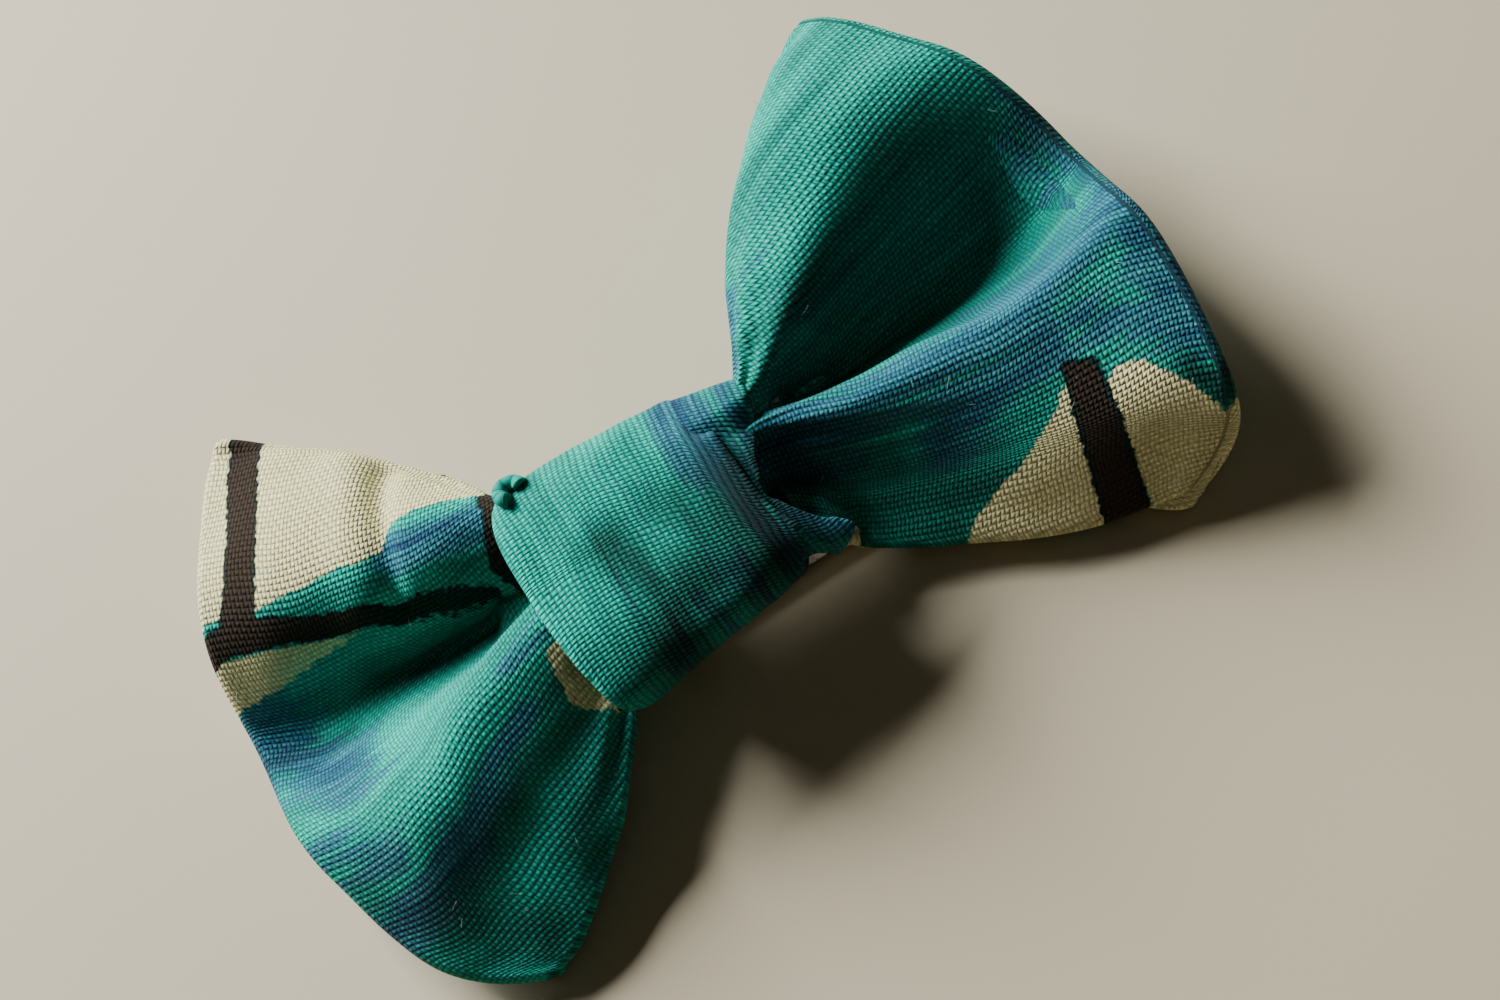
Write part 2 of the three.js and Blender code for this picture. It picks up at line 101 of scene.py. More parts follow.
def natural_spline(knots: np.ndarray, values: np.ndarray, at: np.ndarray) -> np.ndarray:
    """Evaluates a natural cubic spline through rows of values.

    Args:
        knots: rising parameters, one per row of values.
        values: what the curve passes through, with any trailing shape.
        at: parameters to evaluate.

    Returns:
        One row for each parameter in at.
    """
    count = len(knots)
    gaps = np.diff(knots)
    flat = values.reshape(count, -1)
    matrix = np.eye(count)
    right = np.zeros_like(flat)
    for i in range(1, count - 1):
        matrix[i, i - 1 : i + 2] = gaps[i - 1], 2 * (gaps[i - 1] + gaps[i]), gaps[i]
        right[i] = 6 * ((flat[i + 1] - flat[i]) / gaps[i] - (flat[i] - flat[i - 1]) / gaps[i - 1])
    bend = np.linalg.solve(matrix, right)
    i = np.clip(np.searchsorted(knots, at, side="right") - 1, 0, count - 2)
    gap = gaps[i][:, None]
    a = (knots[i + 1] - at)[:, None]
    b = (at - knots[i])[:, None]
    curve = (bend[i] * a**3 + bend[i + 1] * b**3) / (6 * gap)
    curve += (flat[i] / gap - bend[i] * gap / 6) * a + (flat[i + 1] / gap - bend[i + 1] * gap / 6) * b
    return curve.reshape((len(at),) + values.shape[1:])


def value_noise(x: np.ndarray, y: np.ndarray, seed: int) -> np.ndarray:
    """Smooth seeded noise from -1 to 1, with features one unit across.

    Args:
        x: first coordinates.
        y: second coordinates.
        seed: which noise.

    Returns:
        The noise at each place.
    """
    table = np.random.default_rng(seed).uniform(-1, 1, (64, 64))
    xi, yi = np.floor(x).astype(int), np.floor(y).astype(int)
    fx, fy = smooth(x - xi), smooth(y - yi)
    low = table[xi % 64, yi % 64] * (1 - fx) + table[(xi + 1) % 64, yi % 64] * fx
    high = table[xi % 64, (yi + 1) % 64] * (1 - fx) + table[(xi + 1) % 64, (yi + 1) % 64] * fx
    return low * (1 - fy) + high * fy


def unit(vectors: np.ndarray) -> np.ndarray:
    """Vectors scaled to length one along their last axis."""
    return vectors / np.maximum(np.linalg.norm(vectors, axis=-1, keepdims=True), 1e-12)


def mesh_object(
    name: str, points: np.ndarray, faces: list[tuple], fields: dict[str, np.ndarray] | None = None
) -> Object:
    """Makes a smooth-shaded mesh object.

    Args:
        name: the piece's name.
        points: vertices in metres.
        faces: vertex numbers of each face.
        fields: named float values kept on the vertices.

    Returns:
        The object, linked to the scene.
    """
    mesh = bpy.data.meshes.new(name)
    mesh.from_pydata([tuple(p) for p in points.tolist()], [], faces)
    for key, grid in (fields or {}).items():
        layer = mesh.attributes.new(key, "FLOAT", "POINT")
        layer.data.foreach_set("value", np.asarray(grid, np.float32).ravel())
    mesh.shade_smooth()
    mesh.validate()
    made = bpy.data.objects.new(name, mesh)
    bpy.context.scene.collection.objects.link(made)
    return made


def thin_sheet(
    name: str,
    face: np.ndarray,
    normal: np.ndarray,
    depths: tuple[float, float],
    looped: bool,
    fields: dict[str, np.ndarray] | None = None,
) -> Object:
    """Closes a layer of cloth under a face, with rounded edges.

    Args:
        name: the piece's name.
        face: the face in millimetres, rows by columns by 3.
        normal: unit vectors from the face into the cloth.
        depths: how far under the face the layer starts and ends, in millimetres.
        looped: whether the last row joins the first.
        fields: float grids on the face, kept on the vertices.

    Returns:
        The object, in metres.
    """
    low, high = depths
    half = (high - low) / 2
    count = face.shape[1]
    rims = []
    for edge, beside in ((-1, -2), (0, 1)):
        away = unit(face[:, edge] - face[:, beside])
        centre = face[:, edge] + normal[:, edge] * (low + half)
        for turn in (math.pi / 4, math.pi / 2, 3 * math.pi / 4):
            rims.append(centre + half * (away * math.sin(turn) - normal[:, edge] * math.cos(turn)))
    outer, inner = face + normal * low, face + normal * high
    ring = np.concatenate([outer, np.stack(rims[:3], 1), inner[:, ::-1], np.stack(rims[:2:-1], 1)], axis=1)
    order = [*range(count), *[count - 1] * 3, *range(count - 1, -1, -1), *[0] * 3]
    rows, around = ring.shape[:2]
    index = np.arange(rows * around).reshape(rows, around)
    side = np.roll(index, -1, 1)
    below, below_side = (np.roll(index, -1, 0), np.roll(side, -1, 0))
    last = rows if looped else rows - 1
    faces = [tuple(f) for f in np.stack([index, side, below_side, below], -1)[:last].reshape(-1, 4).tolist()]
    if not looped:
        for row, turn in ((0, -1), (rows - 1, 1)):
            base = row * around
            for k in range(-2, count + 1):
                face_ids = [base + j % around for j in (k, k + 1, 2 * count + 1 - k, 2 * count + 2 - k)]
                face_ids = list(dict.fromkeys(face_ids))
                faces.append(tuple(face_ids[::turn]))
    kept = {key: np.asarray(grid)[:, order] for key, grid in (fields or {}).items()}
    made = mesh_object(name, ring.reshape(-1, 3) * MM, faces, kept)
    face_outwards(made)
    return made


def face_outwards(made: Object) -> None:
    """Turns a closed mesh's faces to point outwards.

    Args:
        made: the object, changed in place.
    """
    mesh = made.data
    work = bmesh.new()
    work.from_mesh(mesh)
    bmesh.ops.recalc_face_normals(work, faces=work.faces)
    if work.calc_volume(signed=True) < 0:
        bmesh.ops.reverse_faces(work, faces=work.faces)
    work.to_mesh(mesh)
    work.free()


def sheet_normals(face: np.ndarray, looped: bool) -> np.ndarray:
    """Unit normals of a grid: along its rows crossed with across its columns.

    Args:
        face: rows by columns by 3.
        looped: whether the last row joins the first.

    Returns:
        One normal for each point.
    """
    if looped:
        along = np.roll(face, -1, 0) - np.roll(face, 1, 0)
    else:
        along = np.gradient(face, axis=0)
    return unit(np.cross(along, np.gradient(face, axis=1)))


def tubes(name: str, paths: list[np.ndarray], radius_mm: float, sides: int = 8) -> Object:
    """Sweeps a round wire, thread or fibre along each path.

    Args:
        name: the piece's name.
        paths: each path's points in millimetres.
        radius_mm: half the wire's thickness.
        sides: how many faces go round it.

    Returns:
        One object that holds every tube, with capped ends.
    """
    points, faces, base = [], [], 0
    turns = np.linspace(0, 2 * math.pi, sides, endpoint=False)
    for path in paths:
        run = unit(np.gradient(path, axis=0))
        side = np.cross(run[0], (0.31, 0.52, 0.8))
        for place, along in zip(path, run):
            side = unit(side - along * (side @ along))
            other = np.cross(along, side)
            ring = np.cos(turns)[:, None] * side + np.sin(turns)[:, None] * other
            points.append(place + radius_mm * ring)
        for row in range(len(path) - 1):
            low, high = base + row * sides, base + (row + 1) * sides
            for k in range(sides):
                after = (k + 1) % sides
                faces.append((low + k, low + after, high + after, high + k))
        last = base + (len(path) - 1) * sides
        faces += [tuple(base + k for k in reversed(range(sides))), tuple(last + k for k in range(sides))]
        base = last + sides
    return mesh_object(name, np.concatenate(points) * MM, faces)


def twisted(path: np.ndarray, ply_mm: float, pitch_mm: float) -> list[np.ndarray]:
    """The two plies of a twisted thread that follows a path.

    Args:
        path: points in millimetres, close together.
        ply_mm: distance of each ply's middle from the path.
        pitch_mm: length of one full twist.

    Returns:
        One path for each ply.
    """
    run = unit(np.gradient(path, axis=0))
    travelled = np.concatenate([[0], np.cumsum(np.linalg.norm(np.diff(path, axis=0), axis=1))])
    side = np.cross(run[0], (0.31, 0.52, 0.8))
    sides = []
    for along in run:
        side = unit(side - along * (side @ along))
        sides.append(side)
    first = np.array(sides)
    second = np.cross(run, first)
    turn = (2 * math.pi * travelled / pitch_mm)[:, None]
    offset = ply_mm * (np.cos(turn) * first + np.sin(turn) * second)
    return [path + offset, path - offset]


def add(
    tree: Tree, kind: str, inputs: dict | None = None, **settings: object
) -> bpy.types.Node:
    """Adds a shader node.

    Args:
        tree: the material's node tree.
        kind: the node type's name, without "ShaderNode".
        inputs: socket name or number to a value or to the socket that feeds it.
        settings: the node's own properties.

    Returns:
        The node.
    """
    made = tree.nodes.new("ShaderNode" + kind)
    for key, value in settings.items():
        setattr(made, key, value)
    for key, value in (inputs or {}).items():
        if isinstance(value, Socket):
            tree.links.new(value, made.inputs[key])
        else:
            made.inputs[key].default_value = value
    return made


# ---------- finishes ----------


class SheenOf(Enum):
    """How much loose fibre stands on a textile, as sheen weight."""

    COTTON = 0.05
    INTERLINING = 0.1
    THREAD = 0.35


def new_material(name: str) -> tuple[Material, Tree, bpy.types.Node]:
    """Starts an empty node material with a Principled shader on its output.

    Args:
        name: the material's name.

    Returns:
        The material, its node tree and its shader.
    """
    made = bpy.data.materials.new(name)
    made.use_nodes = True
    tree = made.node_tree
    tree.nodes.clear()
    shader = add(tree, "BsdfPrincipled")
    add(tree, "OutputMaterial", {"Surface": shader.outputs[0]})
    return made, tree, shader


@dataclass(frozen=True)
class PrintedCotton:
    """Plain-woven furnishing cotton, pigment printed in streaky paint-like strokes.

    The thick threads run along the strip as ribs, and the print sits on the threads' tops, so unprinted
    fibre shows as pale specks. Cream ground, teal and blue washes, and dark brown bars. Painted shade
    darkens the colour between the threads and painted highlight lightens their tops; the dark washes
    are partly painted shade and the pale ones partly painted highlight.
    """

    name: str = "printed_cotton"
    rib_mm: float = 0.64
    fine_mm: float = 0.45
    teal: str = "#008b7b"
    bright_teal: str = "#00c8b0"
    deep_teal: str = "#0b2a27"
    blue: str = "#3c97a6"
    violet_blue: str = "#20456b"
    cream: str = "#ede7ae"
    brown: str = "#33291f"
    # Pale teal: the unprinted fibre specks, and also the tint of the light washes, which are partly painted
    # highlight.
    undyed_and_highlight: str = "#18dcc0"
    relief_mm: float = 0.16

    def make(self) -> Material:
        """Builds the material.

        Returns:
            A material that reads the vertex fields flat_u and flat_v (mm along and across the strip), and
            blue, deep, light, cream, bar and edge_line.
        """
        made, tree, shader = new_material(self.name)
        fields = {
            key: add(tree, "Attribute", attribute_name=key).outputs["Fac"]
            for key in ("flat_u", "flat_v", "blue", "deep", "light", "cream", "bar", "edge_line")
        }
        weave = self._weave(tree, fields["flat_u"], fields["flat_v"])
        colour = self._print_and_painted_light(tree, fields, weave)
        bump = add(tree, "Bump", {"Height": weave, "Distance": self.relief_mm * MM, "Strength": 1.0})
        tree.links.new(colour, shader.inputs["Base Color"])
        tree.links.new(bump.outputs[0], shader.inputs["Normal"])
        shader.inputs["Roughness"].default_value = 0.82
        shader.inputs["Specular IOR Level"].default_value = 0.1
        shader.inputs["Sheen Weight"].default_value = SheenOf.COTTON.value
        shader.inputs["Sheen Roughness"].default_value = 0.5
        return made

    def _weave(
        self, tree: Tree, u: Socket, v: Socket
    ) -> Socket:
        """Plain weave from its two thread spacings.

        Args:
            tree: the material's node tree.
            u: millimetres along the strip.
            v: millimetres across the strip.

        Returns:
            The height socket, from 0 between threads to 1 on top of a rib.
        """
        wander = add(tree, "CombineXYZ", {0: u, 1: v})
        drift = add(tree, "TexNoise", {"Vector": wander.outputs[0], "Scale": 0.12, "Detail": 1.0})
        shift = add(tree, "Math", {0: drift.outputs["Fac"], 1: 1.2, 2: -0.6}, operation="MULTIPLY_ADD")
        waves = []
        for coordinate, spacing in ((u, self.fine_mm), (v, self.rib_mm)):
            moved = add(tree, "Math", {0: coordinate, 1: shift.outputs[0]}, operation="ADD")
            phase = add(tree, "Math", {0: moved.outputs[0], 1: math.pi / spacing}, operation="MULTIPLY")
            waves.append(add(tree, "Math", {0: phase.outputs[0]}, operation="SINE").outputs[0])
        fine, rib = waves
        product = add(tree, "Math", {0: fine, 1: rib}, operation="MULTIPLY")
        over = add(tree, "Math", {0: product.outputs[0], 1: 0.0}, operation="GREATER_THAN")
        fine_round = add(tree, "Math", {0: fine}, operation="ABSOLUTE")
        rib_round = add(tree, "Math", {0: rib}, operation="ABSOLUTE")
        heights = []
        for top, under, lift in ((rib_round, fine_round, 1.0), (fine_round, rib_round, 0.72)):
            arch = add(tree, "Math", {0: under.outputs[0], 1: 0.5, 2: 0.5}, operation="MULTIPLY_ADD")
            bump = add(tree, "Math", {0: top.outputs[0], 1: arch.outputs[0]}, operation="MULTIPLY")
            heights.append(add(tree, "Math", {0: bump.outputs[0], 1: lift}, operation="MULTIPLY"))
        height = add(
            tree,
            "Mix",
            {0: over.outputs[0], 2: heights[1].outputs[0], 3: heights[0].outputs[0]},
            data_type="FLOAT",
        )
        return height.outputs[0]

    def _streaks(
        self,
        tree: Tree,
        fields: dict[str, Socket],
        along_mm: float,
        across_mm: float,
    ) -> Socket:
        """Noise drawn out along the ribs.

        Args:
            tree: the material's node tree.
            fields: the vertex field sockets.
            along_mm: feature length along the ribs.
            across_mm: feature width across them.

        Returns:
            A socket from 0 to 1.
        """
        u = add(tree, "Math", {0: fields["flat_u"], 1: 1 / along_mm}, operation="MULTIPLY")
        v = add(tree, "Math", {0: fields["flat_v"], 1: 1 / across_mm}, operation="MULTIPLY")
        at = add(tree, "CombineXYZ", {0: u.outputs[0], 1: v.outputs[0]})
        noise = add(tree, "TexNoise", {"Vector": at.outputs[0], "Scale": 1.0, "Detail": 2.0})
        return noise.outputs["Fac"]

    def _print_and_painted_light(
        self, tree: Tree, fields: dict[str, Socket], weave: Socket
    ) -> Socket:
        """Lays the washes, the cream ground and the bars, then lets threads show through, with painted shade
        between the threads, painted highlight on their tops and a random tone thread by thread.

        Args:
            tree: the material's node tree.
            fields: the vertex field sockets.
            weave: the weave's height.

        Returns:
            The colour socket.
        """
        fine = self._streaks(tree, fields, 11.0, 0.8)
        broad = self._streaks(tree, fields, 26.0, 5.0)
        middling = self._streaks(tree, fields, 17.0, 2.1)
        spread = add(tree, "MapRange", {0: broad, 1: 0.35, 2: 0.68})
        ground = add(
            tree,
            "Mix",
            {0: spread.outputs[0], 6: linear(self.teal), 7: linear(self.bright_teal)},
            data_type="RGBA",
        )
        streak = add(tree, "MapRange", {0: fine, 1: 0.42, 2: 0.72, 4: 0.4})
        teal = add(
            tree,
            "Mix",
            {0: streak.outputs[0], 6: ground.outputs[2], 7: linear(self.undyed_and_highlight)},
            data_type="RGBA",
        )
        mixed = add(tree, "Math", {0: fine, 1: middling}, operation="ADD")
        wash = add(tree, "MapRange", {0: mixed.outputs[0], 1: 0.8, 2: 1.22})
        blues = add(
            tree,
            "Mix",
            {0: wash.outputs[0], 6: linear(self.violet_blue), 7: linear(self.blue)},
            data_type="RGBA",
        )
        colour = teal.outputs[2]
        # The light and deep layers hold painted highlight and painted shade as well as print.
        layers = (
            ("light", linear(self.undyed_and_highlight), 0.6, 1.0, 0.1, 1.0),
            ("blue", blues.outputs[2], 1.0, 1.6, 0.25, 0.7),
            ("deep", linear(self.deep_teal), 1.0, 0.45, 0.0, 1.0),
        )
        for key, tint, most, ragged, start, full in layers:
            loose = add(tree, "Math", {0: mixed.outputs[0], 1: ragged, 2: -ragged}, operation="MULTIPLY_ADD")
            share = add(tree, "Math", {0: fields[key], 1: loose.outputs[0]}, operation="ADD")
            kept = add(tree, "MapRange", {0: share.outputs[0], 1: start, 2: full, 4: most})
            colour = add(tree, "Mix", {0: kept.outputs[0], 6: colour, 7: tint}, data_type="RGBA").outputs[2]
        thread = add(tree, "CombineXYZ", {0: fields["flat_u"], 1: fields["flat_v"]})
        jitter = add(tree, "TexNoise", {"Vector": thread.outputs[0], "Scale": 1.1, "Detail": 1.0})
        printed = {}
        for key, tint in (("cream", self.cream), ("edge_line", self.deep_teal), ("bar", self.brown)):
            loose = add(tree, "Math", {0: jitter.outputs["Fac"], 1: 0.9, 2: -0.45}, operation="MULTIPLY_ADD")
            reach = add(tree, "Math", {0: fields[key], 1: loose.outputs[0]}, operation="ADD")
            kept = add(tree, "MapRange", {0: reach.outputs[0], 1: -0.12, 2: 0.12})
            printed[key] = kept.outputs[0]
            colour = add(
                tree, "Mix", {0: kept.outputs[0], 6: colour, 7: linear(tint)}, data_type="RGBA"
            ).outputs[2]
        # Painted shade and highlight from the weave: the colour falls to 0.36 (0.66 on cream) between the
        # threads and rises to 1.15 on their tops; the slub noise after it is a random tone.
        shadow = add(tree, "MapRange", {0: printed["cream"], 3: 0.36, 4: 0.66})
        gap = add(tree, "MapRange", {0: weave, 1: 0.05, 2: 0.8, 3: shadow.outputs[0], 4: 1.15})
        gap.clamp = False
        slub = add(tree, "TexNoise", {"Vector": thread.outputs[0], "Scale": 1.9, "Detail": 2.0})
        uneven = add(tree, "MapRange", {0: slub.outputs["Fac"], 1: 0.3, 2: 0.7, 3: 0.78, 4: 1.16})
        tone = add(tree, "Math", {0: gap.outputs[0], 1: uneven.outputs[0]}, operation="MULTIPLY")
        shaded = add(
            tree, "Mix", {0: 1.0, 6: colour, 7: tone.outputs[0]}, data_type="RGBA", blend_type="MULTIPLY"
        )
        return shaded.outputs[2]


@dataclass(frozen=True)
class Interlining:
    """Woven fusible interlining: in its natural colour, matt, with an open regular weave."""

    name: str = "woven_interlining"
    colour: str = "#d6d0bf"
    thread_mm: float = 0.5

    def make(self) -> Material:
        """Builds the material.

        Returns:
            The material.
        """
        made, tree, shader = new_material(self.name)
        at = add(tree, "TexCoord").outputs["Object"]
        waves = []
        for axis in ("X", "Y"):
            wave = add(
                tree,
                "TexWave",
                {"Vector": at, "Scale": 1 / (self.thread_mm * MM * 2 * math.pi)},
                bands_direction=axis,
            )
            waves.append(wave.outputs["Fac"])
        height = add(tree, "Math", {0: waves[0], 1: waves[1]}, operation="ADD")
        # Painted shade: the colour is darkened to as little as 0.75 where the weave is low, between its
        # threads.
        tone = add(tree, "MapRange", {0: height.outputs[0], 1: 0.2, 2: 1.6, 3: 0.75, 4: 1.0})
        colour = add(
            tree,
            "Mix",
            {0: 1.0, 6: linear(self.colour), 7: tone.outputs[0]},
            data_type="RGBA",
            blend_type="MULTIPLY",
        )
        bump = add(tree, "Bump", {"Height": height.outputs[0], "Distance": 0.08 * MM})
        tree.links.new(colour.outputs[2], shader.inputs["Base Color"])
        tree.links.new(bump.outputs[0], shader.inputs["Normal"])
        shader.inputs["Roughness"].default_value = 0.9
        shader.inputs["Sheen Weight"].default_value = SheenOf.INTERLINING.value
        return made


@dataclass(frozen=True)
class SewingThread:
    """Spun polyester sewing thread: two plies twisted, a soft lustre along each ply."""

    name: str = "sewing_thread"
    colour: str = "#1d5f62"
    light: str = "#3d8f8c"

    def make(self) -> Material:
        """Builds the material.

        Returns:
            The material.
        """
        made, tree, shader = new_material(self.name)
        at = add(tree, "TexCoord").outputs["Object"]
        fibre = add(tree, "TexNoise", {"Vector": at, "Scale": 4200.0, "Detail": 3.0})
        tone = add(
            tree,
            "Mix",
            {0: fibre.outputs["Fac"], 6: linear(self.colour), 7: linear(self.light)},
            data_type="RGBA",
        )
        bump = add(tree, "Bump", {"Height": fibre.outputs["Fac"], "Distance": 0.04 * MM})
        tree.links.new(tone.outputs[2], shader.inputs["Base Color"])
        tree.links.new(bump.outputs[0], shader.inputs["Normal"])
        shader.inputs["Roughness"].default_value = 0.55
        shader.inputs["Sheen Weight"].default_value = SheenOf.THREAD.value
        return made


@dataclass(frozen=True)
class PlatedSteel:
    """Stamped strip steel with a barrelled finish: a bright plated skin over faint tumbling marks."""

    name: str = "nickel_plated_steel"
    colour: str = "#cfcabf"
    tarnish: str = "#8f8a80"
    roughness: float = 0.24

    def make(self) -> Material:
        """Builds the material.

        Returns:
            The material.
        """
        made, tree, shader = new_material(self.name)
        at = add(tree, "TexCoord").outputs["Object"]
        cloud = add(tree, "TexNoise", {"Vector": at, "Scale": 260.0, "Detail": 5.0})
        marks = add(tree, "TexNoise", {"Vector": at, "Scale": 2600.0, "Detail": 3.0})
        worn = add(tree, "MapRange", {0: cloud.outputs["Fac"], 1: 0.45, 2: 0.75})
        tone = add(
            tree,
            "Mix",
            {0: worn.outputs[0], 6: linear(self.colour), 7: linear(self.tarnish)},
            data_type="RGBA",
        )
        rough = add(
            tree,
            "MapRange",
            {0: marks.outputs["Fac"], 1: 0.3, 2: 0.7, 3: self.roughness, 4: self.roughness + 0.16},
        )
        bump = add(tree, "Bump", {"Height": marks.outputs["Fac"], "Distance": 0.01 * MM, "Strength": 0.4})
        tree.links.new(tone.outputs[2], shader.inputs["Base Color"])
        tree.links.new(rough.outputs[0], shader.inputs["Roughness"])
        tree.links.new(bump.outputs[0], shader.inputs["Normal"])
        shader.inputs["Metallic"].default_value = 1.0
        return made


@dataclass(frozen=True)
class PaleTable:
    """A smooth pale painted table top, faintly mottled."""

    name: str = "pale_table"
    colour: str = "#d3c8ac"
    mottle: str = "#c9bd9f"

    def make(self) -> Material:
        """Builds the material.

        Returns:
            The material.
        """
        made, tree, shader = new_material(self.name)
        at = add(tree, "TexCoord").outputs["Object"]
        cloud = add(tree, "TexNoise", {"Vector": at, "Scale": 9.0, "Detail": 4.0})
        tone = add(
            tree,
            "Mix",
            {0: cloud.outputs["Fac"], 6: linear(self.colour), 7: linear(self.mottle)},
            data_type="RGBA",
        )
        tree.links.new(tone.outputs[2], shader.inputs["Base Color"])
        shader.inputs["Roughness"].default_value = 0.6
        return made


# ---------- the bow's cloth ----------


@dataclass(frozen=True)
class FoldLine:
    """A crest, hollow or edge that runs out along a wing.

    across_mm is its place on the flat strip, measured from the middle. points run from the knot to the
    folded outer edge, in millimetres out from the knot, up the bow and above the table.
    """

    across_mm: float
    points: tuple[Point, ...]


@dataclass(frozen=True)
class WingShape:
    """One wing of the bow: which way it points, its fold lines from lower to upper edge, and its pleats."""

    side: int
    lines: tuple[FoldLine, ...]
    crest_mm: float
    hollows_mm: tuple[float, ...]
    seed: int
    dent_mm: float = 0.0


RIGHT_WING = WingShape(
    side=1,
    crest_mm=-10.0,
    hollows_mm=(0.0, -23.0),
    seed=11,
    lines=(
        FoldLine(-32, (
            (11.2, -3.8, 6), (16.1, -8.6, 4.6), (23.2, -13.6, 3.8),
            (31.7, -18.0, 3.5), (39.4, -20.8, 3.4), (45.8, -22.3, 3.8),
        )),
        FoldLine(-23, (
            (11.5, 0.6, 8.4), (17.3, -3.4, 7.4), (25.7, -7.6, 8.7),
            (36.1, -11.8, 10), (45.2, -15.8, 10.4), (51.9, -19.6, 8.6),
        )),
        FoldLine(-15, (
            (12.5, 3.4, 12.3), (21.3, -0.4, 13), (30.3, -4.1, 13.2),
            (40.5, -7.4, 13.2), (49.0, -10.0, 13.4), (54.4, -12.9, 13.2),
        )),
        FoldLine(-10, (
            (13, 4.4, 13.8), (21.3, 1.7, 14.6), (30.8, -0.7, 14.9),
            (41.5, -2, 14.8), (50, -2, 14.8), (55.5, -3.1, 14.6),
        )),
        FoldLine(-5, (
            (13.3, 5.6, 12.6), (21, 4.4, 11.6), (30.4, 2.9, 11.8),
            (40.6, 1.4, 12.8), (49.2, 2.2, 13.8), (55.2, 3, 14.4),
        )),
        FoldLine(0, (
            (13.4, 6.6, 11), (20, 6.9, 7), (28.4, 7.1, 5.4),
            (37.2, 7.3, 5.6), (46.2, 8, 7.6), (54.4, 9.2, 11.4),
        )),
        FoldLine(8, (
            (13.4, 7, 12.6), (18.6, 8.2, 11.4), (25, 10.4, 10.4),
            (33, 13, 9.6), (42.6, 15.6, 9.8), (52.8, 17.8, 12),
        )),
        FoldLine(16, (
            (13.3, 7.6, 14), (17.9, 10.2, 15.4), (24, 14.2, 16.6),
            (31.8, 19.2, 17.2), (40.2, 23.8, 17.2), (49.2, 26.2, 15.8),
        )),
        FoldLine(27, (
            (13.2, 8.8, 12.2), (17.0, 17.0, 11.2), (21.4, 25.0, 11.8),
            (27.6, 31.9, 13), (34.0, 36.5, 13.6), (40.8, 38.6, 13.8),
        )),
        FoldLine(32, (
            (13.1, 9, 10.4), (17.2, 16.4, 7.2), (21.6, 24.2, 7.2),
            (26.9, 31.7, 8.6), (32.3, 37, 10.2), (38.5, 41.3, 11.8),
        )),
    ),
)

LEFT_WING = WingShape(
    side=-1,
    crest_mm=-9.0,
    hollows_mm=(5.0,),
    seed=23,
    dent_mm=0.9,
    lines=(
        FoldLine(-32, (
            (9.6, -9.5, 8), (15.4, -17.4, 7), (20.7, -22.3, 5.5),
            (25.9, -26.0, 4.2), (29.6, -28.2, 3.5), (32.6, -28.8, 3.2),
        )),
        FoldLine(-20, (
            (10.6, -4.1, 11), (17.5, -9.4, 11.4), (24.7, -13.9, 10.7),
            (31.1, -17.2, 9.2), (36.8, -19.8, 7.2), (41.6, -20.8, 5.8),
        )),
        FoldLine(-10, (
            (11.2, 1, 13), (18.8, -2, 14.2), (25.5, -5, 14.2),
            (31.8, -7.6, 13.4), (38.6, -8.8, 11.6), (45.8, -7.8, 9),
        )),
        FoldLine(-4, (
            (11.4, 2.8, 11.4), (19.2, 1.2, 10.8), (26.4, -0.2, 10.4),
            (33, -1.2, 9.6), (39.9, -1.2, 8.6), (47.2, -0.6, 7.6),
        )),
        FoldLine(4, (
            (11.8, 4.6, 8.6), (20.2, 6.2, 5), (28.4, 7.2, 4),
            (35.8, 7.8, 3.6), (42, 8.6, 3.7), (47.8, 9.8, 4.2),
        )),
        FoldLine(12, (
            (11.8, 7.6, 12.4), (20, 9.5, 13), (25, 11.3, 13.2),
            (31, 13.8, 13.2), (38.2, 16.4, 12.8), (45.5, 19.2, 11.6),
        )),
        FoldLine(20, (
            (11, 10.4, 13.8), (16.4, 14.2, 13.8), (21, 18.6, 13.2),
            (25.8, 23.4, 12.8), (32.2, 28, 12), (40.6, 31.2, 10.8),
        )),
        FoldLine(32, (
            (10, 11.6, 12), (13.4, 17, 10.4), (16.6, 21.6, 9.8),
            (20.6, 26.6, 9.4), (27.4, 32.8, 9.2), (35.6, 38.8, 9.4),
        )),
    ),
)


